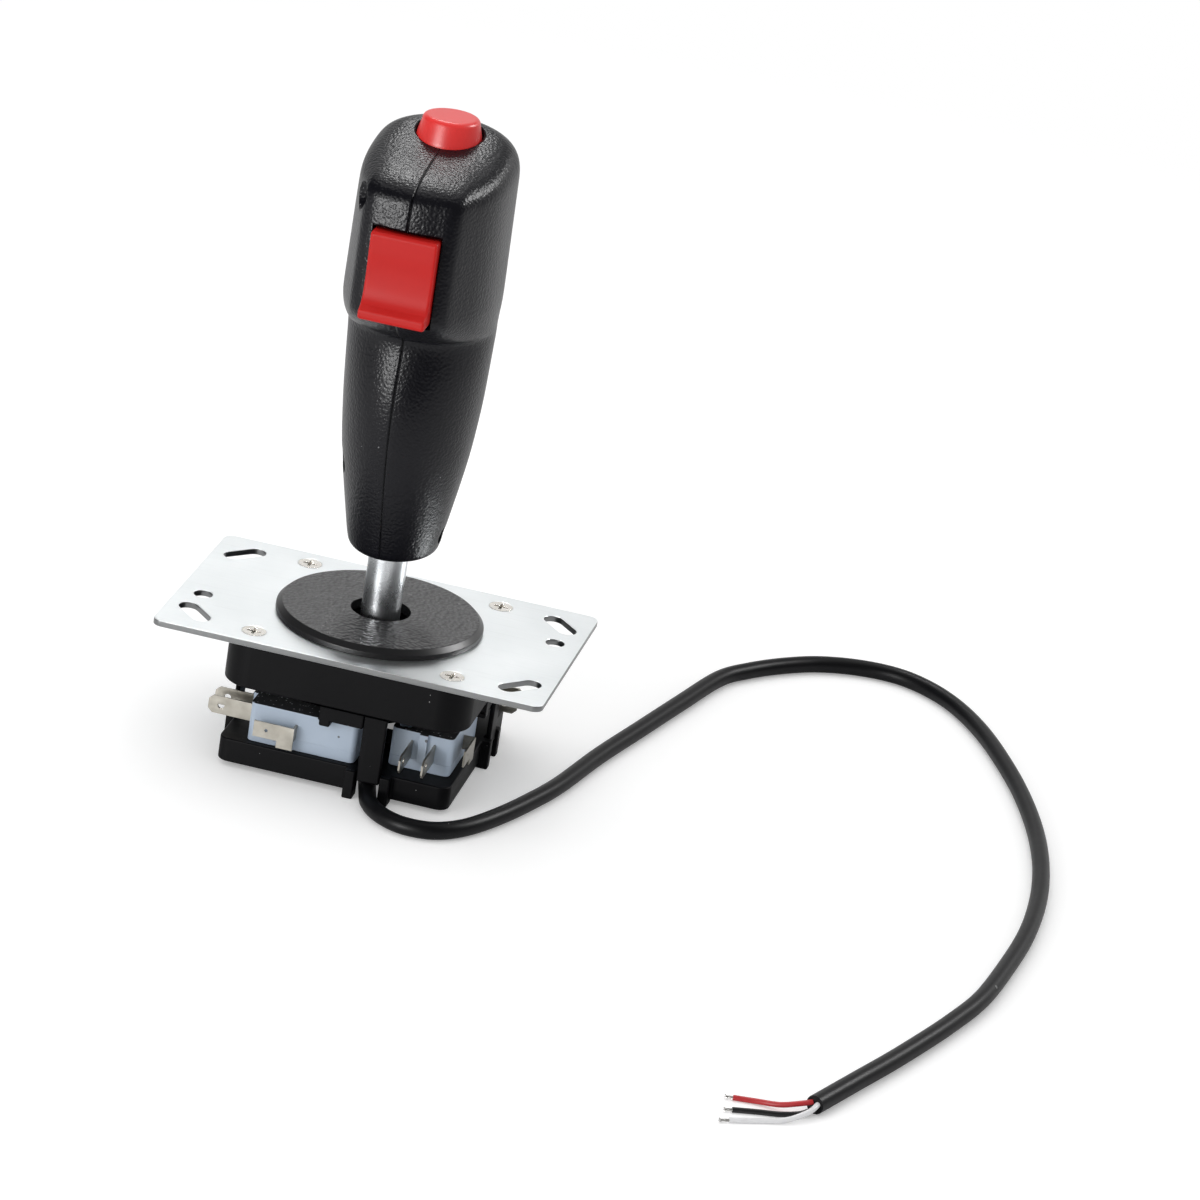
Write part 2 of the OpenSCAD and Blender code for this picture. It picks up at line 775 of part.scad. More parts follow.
module shaft() {
    color("silver")
    difference() {
        translate([0, 0, shaft_bottom])
            cylinder(d = shaft_d, h = shaft_top - shaft_bottom);
        translate([0, 0, shaft_bottom - over])
            cylinder(d = shaft_bore_d, h = shaft_top - shaft_bottom + 2 * over);
        translate([0, 0, actuator_bottom - ring_t - run_gap])
            difference() {
                cylinder(d = shaft_d + over, h = ring_t + 2 * run_gap);
                translate([0, 0, -over])
                    cylinder(r = groove_r, h = ring_t + 3 * over);
            }
        rod_x(-shaft_d, shaft_d, [0, pivot_z], pin_d / 2 + run_gap);
    }
}

module pivot_ball() {
    color([0.12, 0.12, 0.13])
    difference() {
        intersection() {
            translate([0, 0, pivot_z])
                sphere(r = ball_r);
            translate([0, 0, pivot_z - ball_flat])
                cylinder(r = ball_r + over, h = 2 * ball_flat);
        }
        translate([0, 0, pivot_z - ball_r])
            cylinder(r = shaft_d / 2 + run_gap, h = 2 * ball_r);
        rod_x(-2 * ball_r, 2 * ball_r, [0, pivot_z], pin_d / 2 + run_gap);
    }
}

module pivot_pins() {
    color("darkgray")
    for (side = [0, 1])
        mirror([side, 0, 0])
            rod_x(pin_root, pin_tip, [0, pivot_z], pin_d / 2);
}

module centring_spring() {
    color("silver")
    translate([0, 0, actuator_top])
        coil(actuator_r - 1.2, ball_r + 0.3, spring_len, spring_wire, 3.5);
}

module actuator() {
    color("ivory")
    difference() {
        rotate_extrude()
            polygon([
                [0, actuator_bottom], [actuator_neck_r, actuator_bottom], [actuator_neck_r, actuator_step],
                [actuator_r, actuator_step], [actuator_r, actuator_top], [0, actuator_top]
            ]);
        translate([0, 0, actuator_bottom - over])
            cylinder(r = shaft_d / 2 + run_gap, h = actuator_top - actuator_bottom + 2 * over);
    }
}

module retaining_ring() {
    color("darkgray")
    translate([0, 0, actuator_bottom - ring_t])
        difference() {
            cylinder(r = ring_r, h = ring_t);
            translate([0, 0, -over])
                cylinder(r = groove_r + run_gap, h = ring_t + 2 * over);
            translate([0, -groove_r + 0.6, -over])
                cube([ring_r + over, 2 * groove_r - 1.2, ring_t + 2 * over]);
        }
}

// Grip

// Moulded half of the grip on the +X side, as a hollow loft
module grip_loft() {
    last = len(grip_heights) - 1;
    loop_len = 2 * n_half;
    inner_rise = (inner_top - inner_bottom) / (grip_top - grip_bottom);
    bore = oval_half(shaft_d / 2 - 0.6, shaft_d / 2 - 0.6, shaft_d / 2 - 0.6);
    loops = [for (i = [0:last])
        let (z = grip_bottom + grip_heights[i])
        let (inner_z = inner_bottom + grip_heights[i] * inner_rise)
        concat(
            grip_half(z, 0),
            backwards(i == 0 ? at_height(bore, inner_z) : grip_half(inner_z, grip_wall))
        )];
    walls = [for (i = [0:last - 1], k = [0:loop_len - 1])
        let (next = (k + 1) % loop_len, a = i * loop_len, b = a + loop_len)
        each [[a + k, b + k, b + next], [a + k, b + next, a + next]]];
    caps = [for (k = [0:n_half - 2])
        let (a = k, b = k + 1, c = loop_len - 2 - k, d = loop_len - 1 - k, top = last * loop_len)
        each [[a, b, c], [a, c, d], [top + a, top + c, top + b], [top + a, top + d, top + c]]];
    polyhedron([for (loop = loops) each loop], concat(walls, caps), convexity = 10);
}

// The space of the +X half out to the middle of its wall, which bounds what is moulded inside it
module grip_core() {
    last = len(grip_heights) - 1;
    core_rise = (grip_top - grip_bottom - 2 * core_inset) / (grip_top - grip_bottom);
    rings = [for (h = grip_heights)
        [for (p = grip_half(grip_bottom + core_inset + h * core_rise, core_inset))
            [p[0] > eps ? p[0] : -over, p[1], p[2]]]];
    walls = [for (i = [0:last - 1], k = [0:n_half - 1])
        let (next = (k + 1) % n_half, a = i * n_half, b = a + n_half)
        each [[a + k, b + k, b + next], [a + k, b + next, a + next]]];
    ends = [[for (k = [0:n_half - 1]) k], [for (k = [n_half - 1:-1:0]) last * n_half + k]];
    polyhedron([for (ring = rings) each ring], concat(walls, ends), convexity = 6);
}

// What both halves carry inside: the shaft's socket, screw bosses, trigger bearing and button seat
module grip_inside() {
    reach = 2 * grip_neck_r;
    intersection() {
        translate([0, -grip_top, 0])
            cube([grip_top, 2 * grip_top, 2 * grip_top]);
        union() {
            translate([0, 0, grip_bottom + floor_t / 2])
                cylinder(r = socket_r, h = socket_top - grip_bottom - floor_t / 2);
            difference() {
                translate([0, 0, collar_bottom])
                    cylinder(r = collar_r, h = 2 * collar_drop);
                translate([0, 0, grip_top - grip_wall / 2])
                    rotate([crown_angle, 0, 0])
                        translate([-2 * collar_r, -2 * collar_r, 0])
                            cube(4 * collar_r);
            }
        }
    }
    intersection() {
        grip_core();
        union() {
            for (at = grip_screws_at) {
                rod_x(0, reach, at, grip_thread_r);
                rod_x(seat_x - seat_t, reach, at, grip_boss_r);
            }
            rod_x(trigger_w / 2 + clear_gap, reach, trigger_pin_at, trigger_ear_r);
            translate([0, -shelf_half_d, shelf_top - shelf_t])
                cube([reach, 2 * shelf_half_d, shelf_t]);
            children();
        }
    }
}

// Openings that both halves share
module grip_openings() {
    translate([0, 0, grip_bottom - over])
        cylinder(r = shaft_d / 2 + run_gap, h = socket_top - grip_bottom + 2 * over);
    translate([0, 0, collar_bottom - over])
        cylinder(r = button_hole_r, h = 2 * (grip_top - collar_bottom));
    translate([0, 0, shelf_top - shelf_t - over])
        cylinder(r = stem_r + 1, h = shelf_t + 2 * over);
    window_w = trigger_w + 2 * window_gap;
    translate([-window_w / 2, -nose_reach - over, trigger_top - trigger_h - window_low])
        cube([window_w, window_depth + over, trigger_h + window_low + 2 * window_gap]);
    rod_x(-trigger_w / 2 - 2.6, trigger_w / 2 + 2.6, trigger_pin_at, trigger_pin_r + run_gap);
}

module grip_right() {
    color([0.13, 0.13, 0.14])
    difference() {
        union() {
            grip_loft();
            grip_inside()
                translate([spring_post_x, spring_post_y, spring_post_z] - [1, 0, 1] * spring_post_h / 2)
                    cube([grip_neck_r, spring_post_t, spring_post_h]);
        }
        grip_openings();
        for (at = grip_screws_at)
            rod_x(-over, screw_tip + over, at, grip_screw_r + run_gap);
        rotate(set_screw_turn) {
            rod_x(0, socket_r + over, [0, set_screw_z], set_screw_r + run_gap);
            rod_x(socket_r - eps, 2 * grip_foot_r, [0, set_screw_z], set_access_r);
        }
    }
}

module grip_left() {
    color([0.12, 0.12, 0.13])
    difference() {
        union() {
            mirror([1, 0, 0]) {
                grip_loft();
                grip_inside()
                    for (at = mini_pegs_at)
                        rod_x(0, 2 * grip_neck_r, at, mini_peg_r);
            }
            for (at = mini_pegs_at)
                rod_x(-over, mini_t / 2, at, mini_peg_r);
        }
        grip_openings();
        for (at = grip_screws_at) {
            rod_x(-seat_x - over, over, at, grip_screw_r + run_gap);
            rod_x(-2 * grip_neck_r, -seat_x, at, counterbore_d / 2);
        }
    }
}

module grip_screws() {
    color("dimgray")
    for (at = grip_screws_at)
        difference() {
            union() {
                rod_x(-seat_x, screw_tip, at, grip_screw_r);
                rod_x(-seat_x - grip_head_h, -seat_x, at, grip_head_r);
            }
            for (turn = [0, 90])
                translate([-seat_x - grip_head_h - over, at[0], at[1]])
                    rotate([turn, 0, 0])
                        translate([0, -recess_len / 2, -recess_w / 2])
                            cube([recess_depth + over, recess_len, recess_w]);
        }
}

module set_screw() {
    color("dimgray")
    rotate(set_screw_turn)
        difference() {
            rod_x(shaft_d / 2 + run_gap, socket_r - 0.5, [0, set_screw_z], set_screw_r);
            rod_x(socket_r - 2, socket_r, [0, set_screw_z], 1);
        }
}

module thumb_button() {
    top = grip_top + button_out;
    top_r = button_r - button_taper;
    color("red")
    rotate_extrude()
        polygon(concat(
            [[0, stem_bottom], [stem_r, stem_bottom], [stem_r, flange_top - flange_t]],
            [[flange_r, flange_top - flange_t], [flange_r, flange_top], [button_r, flange_top]],
            [[button_r, grip_top - button_taper_drop]],
            [for (t = [0:30:90]) [top_r - button_edge_r * (1 - cos(t)), top - button_edge_r * (1 - sin(t))]],
            [[0, top]]
        ));
}

module thumb_spring() {
    color("silver")
    translate([0, 0, shelf_top])
        coil(stem_r + 2, stem_r + 2, flange_top - flange_t - shelf_top, 0.6, 3);
}

// A small snap switch in the Y-Z plane with its nub along +Z before it is turned about X
module mini_switch(at, turn) {
    translate([0, at[0], at[1]])
        rotate([turn, 0, 0])
            difference() {
                union() {
                    translate([-mini_t / 2, -mini_len / 2, -mini_h / 2])
                        cube([mini_t, mini_len, mini_h]);
                    translate([0, 0, mini_h / 2 - over])
                        cylinder(r = mini_nub_r, h = over + 1);
                    for (y = [-1, 0, 1])
                        translate([-mini_t / 4, y * 8 - tab_t / 2, -mini_h / 2 - mini_pin_len])
                            cube([mini_t / 2, tab_t, mini_pin_len + over]);
                }
                for (s = [-1, 1])
                    rod_x(-mini_t, mini_t, [s * mini_peg_pitch / 2, 0], mini_peg_r + run_gap);
            }
}

module thumb_switch() {
    color("black")
    mini_switch(thumb_switch_at, 0);
}

module trigger_switch() {
    color("black")
    mini_switch(trigger_switch_at, 90);
}

// Trigger in side view: a scooped face with a lip at its foot and an ear round the pin
module trigger_outline() {
    foot = trigger_top - trigger_h;
    difference() {
        polygon([
            [trigger_face + trigger_chamfer, trigger_top], [trigger_back, trigger_top],
            [trigger_back, trigger_top - 16], [-nose_reach + trigger_depth, trigger_top - 18],
            [-nose_reach + trigger_depth, foot + 1], [-nose_reach + 1, foot],
            [trigger_face - trigger_lip + trigger_chamfer / 2, foot],
            [trigger_face - trigger_lip, foot + trigger_chamfer / 2],
            [trigger_face - trigger_lip, foot + 1.4], [trigger_face - 0.4, foot + 4.6],
            [trigger_face, trigger_top - trigger_chamfer]
        ]);
        translate([trigger_face - scoop_r + scoop_depth - 0.4, trigger_top - trigger_h * 0.5])
            circle(scoop_r);
        translate(trigger_pin_at)
            circle(trigger_pin_r + run_gap);
    }
}

module trigger() {
    color("red")
    rotate([90, 0, 90])
        linear_extrude(trigger_w, center = true)
            trigger_outline();
}

module trigger_pin() {
    color("silver")
    rod_x(-trigger_w / 2 - 2.4, trigger_w / 2 + 2.4, trigger_pin_at, trigger_pin_r);
}

module trigger_spring() {
    color("silver")
    translate([spring_post_x, trigger_back, spring_post_z])
        rotate([-90, 0, 0])
            coil(2, 2, spring_post_y - trigger_back, 0.5, 6);
}

module grip_lead() {
    color([0.1, 0.1, 0.1])
    translate([0, 0, shaft_bottom])
        cylinder(d = cable_d, h = lead_top - shaft_bottom);
}

// Cable and its bare cores

module cable() {
    color([0.1, 0.1, 0.1])
    tube(smooth_route(cable_route, 2), cable_d / 2, 10);
}

module core(route, shade) {
    color(shade)
    tube(smooth_route([for (p = route) core_exit + p], 3), core_d / 2, 8);
}

mounting_plate();
plate_screws();
dust_washer();
upper_housing();
lower_tray();
switch_case();  // case_front
rotate(90) switch_case();  // case_right
rotate(180) switch_case();  // case_back
rotate(270) switch_case();  // case_left
switch_cover();  // cover_front
rotate(90) switch_cover();  // cover_right
rotate(180) switch_cover();  // cover_back
rotate(270) switch_cover();  // cover_left
switch_tabs();  // tabs_front
rotate(90) switch_tabs();  // tabs_right
rotate(180) switch_tabs();  // tabs_back
rotate(270) switch_tabs();  // tabs_left
switch_plunger();  // plunger_front
rotate(90) switch_plunger();  // plunger_right
rotate(180) switch_plunger();  // plunger_back
rotate(270) switch_plunger();  // plunger_left
shaft();
pivot_ball();
pivot_pins();
centring_spring();
actuator();
retaining_ring();
grip_left();
grip_right();
grip_screws();
set_screw();
thumb_button();
thumb_spring();
thumb_switch();
trigger();
trigger_pin();
trigger_spring();
trigger_switch();
grip_lead();
cable();
core(red_route, "red");  // core_red
core(black_route, [0.1, 0.1, 0.1]);  // core_black
core(white_route, "white");  // core_white
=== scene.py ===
import math

import bmesh
import bpy
import numpy as np
from mathutils import Matrix, Vector
from mathutils.bvhtree import BVHTree


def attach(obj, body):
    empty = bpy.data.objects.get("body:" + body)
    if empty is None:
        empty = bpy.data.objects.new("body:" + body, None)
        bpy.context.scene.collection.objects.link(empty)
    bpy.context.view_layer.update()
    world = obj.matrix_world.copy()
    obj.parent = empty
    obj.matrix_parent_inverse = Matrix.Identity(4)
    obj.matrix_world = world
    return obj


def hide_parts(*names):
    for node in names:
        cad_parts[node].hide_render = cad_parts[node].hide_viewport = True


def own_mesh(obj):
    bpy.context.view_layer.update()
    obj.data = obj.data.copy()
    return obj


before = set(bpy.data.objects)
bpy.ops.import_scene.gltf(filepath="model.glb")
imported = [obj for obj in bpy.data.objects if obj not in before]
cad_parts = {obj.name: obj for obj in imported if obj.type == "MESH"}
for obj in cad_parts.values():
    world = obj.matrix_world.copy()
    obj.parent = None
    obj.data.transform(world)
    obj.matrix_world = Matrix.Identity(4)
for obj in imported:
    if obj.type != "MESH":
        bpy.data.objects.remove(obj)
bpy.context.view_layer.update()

# Camera: a long lens at the right front of the stick, looking down at it.
# The stick's foot stands left of the frame's middle.
mm = 0.001
camera_place = Vector((241.55, -1138.39, 477.36)) * mm
camera_right = Vector((0.96439726, 0.21845928, 0.14904181))
camera_down = Vector((0.21745396, -0.33432543, -0.91702796))
camera_forward = Vector((-0.1505048, 0.91678899, -0.36992737))


def new_object(name, data):
    """A new object in the scene."""
    made = bpy.data.objects.new(name, data)
    bpy.context.scene.collection.objects.link(made)
    return made


camera = new_object("camera", bpy.data.cameras.new("camera"))
camera.data.lens = 150
camera.data.sensor_width = 36
camera.matrix_world = (
    Matrix.Translation(camera_place)
    @ Matrix((camera_right, -camera_down, -camera_forward)).transposed().to_4x4()
)
bpy.context.scene.camera = camera

# Cable: one round three-core lead in a black PVC sheath. It leaves the tray under the shaft, passes
# the front notch and lies on the floor in one loop, and its far end is cut square.
floor_z = -35.7
cable_d = 4.5
cable_steps = 8
cable_rest = floor_z + cable_d / 2
cable_plan = [
    (2.4, -8), (4.6, -15), (7.4, -22.5), (9.4, -29.5), (11.8, -36.5), (16.6, -42), (23, -44.8),
    (30.5, -43.6), (37, -37.4), (43, -26), (48, -13), (52, 0), (57, 23), (63, 46), (69, 69), (75, 91),
    (81, 101), (89, 110), (98, 117), (109, 121), (120, 121), (130, 116), (139, 107), (148, 93),
    (157, 74), (164, 56), (170, 36), (174, 16), (176, -4), (176, -25), (174, -46), (171, -66),
    (166, -83), (161, -97), (156, -110), (151, -122), (144, -139),
]
cable_route = [(-0.4, 1.2, cable_rest + 4.2), (0.2, -0.8, cable_rest + 2.1), (1.2, -3.8, cable_rest + 0.5)]
cable_route += [(x, y, cable_rest) for x, y in cable_plan]


def smooth_route(route, steps):
    """Points in metres on one smooth curve through the route's points."""
    points = [Vector(p) * mm for p in route]
    fine = []
    for i in range(len(points) - 1):
        a, b = points[max(i - 1, 0)], points[i]
        c, d = points[i + 1], points[min(i + 2, len(points) - 1)]
        bend, twist = 2 * a - 5 * b + 4 * c - d, 3 * (b - c) + d - a
        for s in range(steps):
            t = s / steps
            fine.append(b + 0.5 * t * ((c - a) + t * (bend + t * twist)))
    return fine + [points[-1]]


def wire_piece(name, lines, diameter, finish, body):
    """Round wire along one or more lines, closed at its ends."""
    curve = bpy.data.curves.new(name, "CURVE")
    curve.dimensions = "3D"
    curve.bevel_depth = diameter / 2 * mm
    curve.bevel_resolution = 6
    curve.use_fill_caps = True
    for line in lines:
        spline = curve.splines.new("POLY")
        spline.points.add(len(line) - 1)
        for point, spot in zip(spline.points, line):
            point.co = (*spot, 1)
        spline.use_smooth = True
    curve.materials.append(finish)
    piece = new_object(name, curve)
    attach(piece, body)
    return piece


def put(tree, kind, inputs=(), **settings):
    """One shader node, with its settings, and each input set to a value or linked to a socket."""
    made = tree.nodes.new("ShaderNode" + kind)
    for key, value in settings.items():
        setattr(made, key, value)
    for key, value in dict(inputs).items():
        if isinstance(value, bpy.types.NodeSocket):
            tree.links.new(value, made.inputs[key])
        else:
            made.inputs[key].default_value = value
    return made


def times(tree, a, b):
    return put(tree, "Math", {0: a, 1: b}, operation="MULTIPLY").outputs[0]


def spread(tree, value, low, high):
    """A value from 0 to 1 moved to another range."""
    return put(tree, "MapRange", {"Value": value, "To Min": low, "To Max": high}).outputs["Result"]


def ramp(tree, value, start, end, low=0, high=1, **settings):
    """A value that goes from low to high while another goes from start to end."""
    inputs = {"Value": value, "From Min": start, "From Max": end, "To Min": low, "To Max": high}
    return put(tree, "MapRange", inputs, **settings).outputs["Result"]


def tone_over(tree, mask, under, over):
    """A colour laid over another where the mask is 1. The Mix node's colours are sockets 6, 7 and out 2."""
    return put(tree, "Mix", {6: under, 7: (*over, 1), "Factor": mask}, data_type="RGBA").outputs[2]


def new_group(name, inputs, outputs):
    """An empty node group with number inputs and outputs, for an effect that several finishes share."""
    group = bpy.data.node_groups.new(name, "ShaderNodeTree")
    for label, value in inputs.items():
        socket = group.interface.new_socket(label, in_out="INPUT", socket_type="NodeSocketFloat")
        socket.default_value = value
    for label in outputs:
        group.interface.new_socket(label, in_out="OUTPUT", socket_type="NodeSocketFloat")
    return group, group.nodes.new("NodeGroupInput").outputs, group.nodes.new("NodeGroupOutput").inputs


def use_group(tree, group, **inputs):
    """One copy of a shared effect in a finish, with its own values."""
    made = put(tree, "Group", node_tree=group)
    for key, value in inputs.items():
        made.inputs[key].default_value = value
    return made.outputs


def new_finish(name, **fixed):
    """A material whose shader holds the values that are the same all over it."""
    finish = bpy.data.materials.new(name)
    finish.use_nodes = True
    shader = finish.node_tree.nodes["Principled BSDF"]
    for key, value in fixed.items():
        shader.inputs[key.replace("_", " ")].default_value = value
    return finish, finish.node_tree, shader.inputs


def sink(tree, shader, height, depth, strength):
    """The height map pressed into the surface, with its depth in millimetres."""
    bump = put(tree, "Bump", {"Height": height, "Distance": depth * mm, "Strength": strength})
    tree.links.new(bump.outputs["Normal"], shader["Normal"])


# Mould grain: rounded pebbles over a finer tooth, and slow patches of tone.
mould_grain, given, gives = new_group(
    "mould_grain", {"Pebbles": 900, "Tooth": 3200, "Patches": 60}, ["Height", "Tone", "Pebble"]
)
at = put(mould_grain, "TexCoord").outputs["Object"]
pebbles = put(mould_grain, "TexVoronoi", {"Vector": at, "Scale": given["Pebbles"]}, feature="SMOOTH_F1")
tooth = put(mould_grain, "TexNoise", {"Vector": at, "Scale": given["Tooth"], "Detail": 3})
patches = put(mould_grain, "TexNoise", {
    "Vector": at, "Scale": given["Patches"], "Detail": 4, "Roughness": 0.6
})
dome = ramp(mould_grain, pebbles.outputs["Distance"], 0.1, 0.75, 1, 0, interpolation_type="SMOOTHSTEP")
rough_dome = put(mould_grain, "Math", {0: tooth.outputs[0], 1: 0.35, 2: dome}, operation="MULTIPLY_ADD")
mould_grain.links.new(rough_dome.outputs[0], gives["Height"])
mould_grain.links.new(patches.outputs[0], gives["Tone"])
mould_grain.links.new(dome, gives["Pebble"])

# Dust: pale or dark specks of random size, in a few of the cells that they could lie in.
dust_specks, given, gives = new_group("dust_specks", {"Cells": 260, "Share": 0.1, "Size": 0.12}, ["Mask"])
at = put(dust_specks, "TexCoord").outputs["Object"]
cells = put(dust_specks, "TexVoronoi", {"Vector": at, "Scale": given["Cells"]})
parted = put(dust_specks, "SeparateColor", {"Color": cells.outputs["Color"]})
chosen = put(dust_specks, "Math", {0: parted.outputs[0], 1: given["Share"]}, operation="LESS_THAN")
reach = times(dust_specks, parted.outputs[1], given["Size"])
inside = put(dust_specks, "Math", {0: cells.outputs["Distance"], 1: reach}, operation="LESS_THAN")
dust_specks.links.new(times(dust_specks, chosen.outputs[0], inside.outputs[0]), gives["Mask"])


def grained_finish(name, scales, dark, light, rough=None, relief=None, **fixed):
    """A material with mould grain: the scales of its pebbles, tooth and patches, colour and roughness
    that go from one value to another by the patches, and the depth and strength of its relief."""
    finish, tree, shader = new_finish(name, **fixed)
    pebbles, tooth, patches = scales
    grain = use_group(tree, mould_grain, Pebbles=pebbles, Tooth=tooth, Patches=patches)
    tree.links.new(tone_over(tree, grain["Tone"], (*dark, 1), light), shader["Base Color"])
    if rough:
        tree.links.new(spread(tree, grain["Tone"], *rough), shader["Roughness"])
    if relief:
        sink(tree, shader, grain["Height"], *relief)
    return finish


def lay_over(finish, mask, colour):
    """One more colour over what the finish already has, where the mask is 1."""
    tree = finish.node_tree
    base = tree.nodes["Principled BSDF"].inputs["Base Color"]
    tree.links.new(tone_over(tree, mask, base.links[0].from_socket, colour), base)


def add_dust(finish, cells, share, size, colour):
    specks = use_group(finish.node_tree, dust_specks, Cells=cells, Share=share, Size=size)
    lay_over(finish, specks["Mask"], colour)


# The sheath's extruded skin: satin, faintly wavy and patchy, with a little dust.
cable_sheath = grained_finish(
    "cable_sheath", (420, 2600, 45), (0.002, 0.002, 0.003), (0.005, 0.005, 0.006),
    rough=(0.34, 0.5), relief=(0.03, 0.35), Specular_IOR_Level=0.18,
)
add_dust(cable_sheath, cells=300, share=0.1, size=0.16, colour=(0.16, 0.16, 0.16))

cable_line = smooth_route(cable_route, cable_steps)
cable = wire_piece("cable_run", [cable_line], cable_d, cable_sheath, "base")
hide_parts("cable")

# Cores: three PVC-covered wires that fan out of the cut sheath, each stripped to a short tinned tip
# of twisted strands.
core_d = 1.3
core_steps, stripped_steps = 24, 8
strand_count, strand_d = 5, 0.26
strand_off_axis, strand_fan, strand_turn = 0.2, 0.03, 0.35
core_exit = Vector((*cable_plan[-1], cable_rest))
core_routes = {
    "red": [(-0.7, 0.3, 0.4), (-3.4, -1.6, 0.2), (-7.5, -2.3, -0.8), (-13, -2, -1.5), (-20, -3, -1.6)],
    "black": [(0, 0, -0.9), (-2.2, -3, -1.3), (-6.6, -5.2, -1.6), (-12, -6.8, -1.6), (-19, -9.2, -1.6)],
    "white": [
        (0.7, -0.3, 0.4), (-0.7, -3.8, -0.2), (-4.8, -7.8, -1.3), (-10.8, -10.8, -1.6), (-19, -14.8, -1.6),
    ],
}
core_shades = {
    "red": ((0.42, 0.012, 0.018), (0.6, 0.03, 0.035)),
    "black": ((0.006, 0.006, 0.007), (0.014, 0.014, 0.015)),
    "white": ((0.68, 0.68, 0.69), (0.82, 0.82, 0.83)),
}

# Tinned copper: soft bright metal, with duller patches.
tinned_wire = grained_finish(
    "tinned_wire", (2600, 6000, 900), (0.5, 0.49, 0.47), (0.74, 0.73, 0.71),
    rough=(0.2, 0.45), relief=(0.02, 0.3), Metallic=1.0,
)

cores = []
for shade, route in core_routes.items():
    jacket_skin = grained_finish(
        f"{shade}_core", (900, 5000, 220), *core_shades[shade], relief=(0.02, 0.25), Roughness=0.42, IOR=1.5
    )
    line = smooth_route([core_exit + Vector(p) for p in route], core_steps)
    cut = len(line) - stripped_steps
    jacket = wire_piece(f"core_{shade}_jacket", [line[:cut]], core_d, jacket_skin, "base")
    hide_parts(f"core_{shade}")
    strands = []
    for k in range(strand_count):
        strand = []
        for i, spot in enumerate(line[cut - 2:]):
            turn = 2 * math.pi * k / strand_count + strand_turn * i
            off_axis = (strand_off_axis + strand_fan * i * (k % 2)) * mm
            strand.append(spot + Vector((0, math.cos(turn), math.sin(turn))) * off_axis)
        strands.append(strand[: len(strand) - k % 3])
    wires = wire_piece(f"core_{shade}_strands", strands, strand_d, tinned_wire, "base")
    cores += [jacket, wires]


# Mounting plate: 1.6 mm steel sheet, sheared and punched, then zinc-plated. The screws hold it down
# on the housing, and the slots and round holes take the panel's bolts.
def shade_evenly(piece):
    piece.modifiers.new("even_shading", "WEIGHTED_NORMAL").keep_sharp = True


def mesh_piece(mesh, finish, body, node, edge=0, segments=2, clamped=True):
    """A smooth-shaded object that stands for a node, with rounded edges if an edge radius is given."""
    mesh.polygons.foreach_set("use_smooth", [True] * len(mesh.polygons))
    mesh.materials.clear()
    mesh.materials.append(finish)
    piece = new_object(mesh.name, mesh)
    if edge:
        rounding = piece.modifiers.new("rounded_edges", "BEVEL")
        rounding.width = edge * mm
        rounding.segments = segments
        rounding.limit_method = "ANGLE"
        rounding.angle_limit = math.radians(32)
        rounding.use_clamp_overlap = clamped
        shade_evenly(piece)
    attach(piece, body)
    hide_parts(node)
    return piece


def from_solid(node, name, finish, body, edge=0, segments=2, clamped=True):
    """A piece with the node's faces, whose sharp edges are rounded as a real part's are."""
    solid = bmesh.new()
    solid.from_mesh(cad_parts[node].data)
    bmesh.ops.remove_doubles(solid, verts=solid.verts, dist=0.002 * mm)
    bmesh.ops.dissolve_limit(
        solid, angle_limit=math.radians(0.6), use_dissolve_boundaries=False,
        verts=solid.verts, edges=solid.edges,
    )
    solid.verts.index_update()
    mesh = bpy.data.meshes.new(name)
    mesh.from_pydata([v.co[:] for v in solid.verts], [], [[v.index for v in f.verts] for f in solid.faces])
    solid.free()
    return mesh_piece(mesh, finish, body, node, edge, segments, clamped)


# Scratches: thin streaks in three directions, where a stretched noise is at its highest.
hairlines, given, gives = new_group("hairlines", {"Scale": 30, "Share": 0.3}, ["Mask"])
at = put(hairlines, "TexCoord").outputs["Object"]
found = None
for turn, stretch in ((0.5, 45), (-0.9, 70), (1.9, 55)):
    turned = put(hairlines, "Mapping", {"Vector": at, "Rotation": (0, 0, turn), "Scale": (1, stretch, 1)})
    wave = put(hairlines, "TexNoise", {"Vector": turned.outputs[0], "Scale": given["Scale"], "Detail": 0})
    streak = ramp(hairlines, wave.outputs[0], 0.68, 0.8)
    if found is None:
        found = streak
    else:
        found = put(hairlines, "Math", {0: found, 1: streak}, operation="MAXIMUM").outputs[0]
hairlines.links.new(times(hairlines, found, given["Share"]), gives["Mask"])


def add_scratches(finish, scale, share, colour):
    lay_over(finish, use_group(finish.node_tree, hairlines, Scale=scale, Share=share)["Mask"], colour)


def facing_up(tree):
    """How far the surface faces up, from -1 to 1."""
    normal = put(tree, "NewGeometry").outputs["Normal"]
    return put(tree, "SeparateXYZ", {"Vector": normal}).outputs["Z"]


zinc_plate = grained_finish(
    "zinc_plate", (2200, 5200, 38), (0.76, 0.8, 0.81), (0.9, 0.92, 0.925),
    rough=(0.24, 0.38), relief=(0.006, 0.2), Metallic=1.0,
)
add_scratches(zinc_plate, scale=45, share=0.16, colour=(0.6, 0.62, 0.62))
add_dust(zinc_plate, cells=120, share=0.12, size=0.1, colour=(0.3, 0.29, 0.27))
tree = zinc_plate.node_tree
# Painted shade: the sheet's cut edges, the faces that point neither up nor down, are painted dark for the
# shade on them and the dark front they mirror, and partly for the dull look of sheared steel.
level = put(tree, "Math", {0: facing_up(tree)}, operation="ABSOLUTE").outputs[0]
shaded_cut_edge = ramp(tree, level, 0.55, 0.3, high=0.85)
lay_over(zinc_plate, shaded_cut_edge, (0.1, 0.1, 0.1))
from_solid(
    "mounting_plate", "zinc_sheet", zinc_plate, "base", edge=0.16, segments=3, clamped=False
)

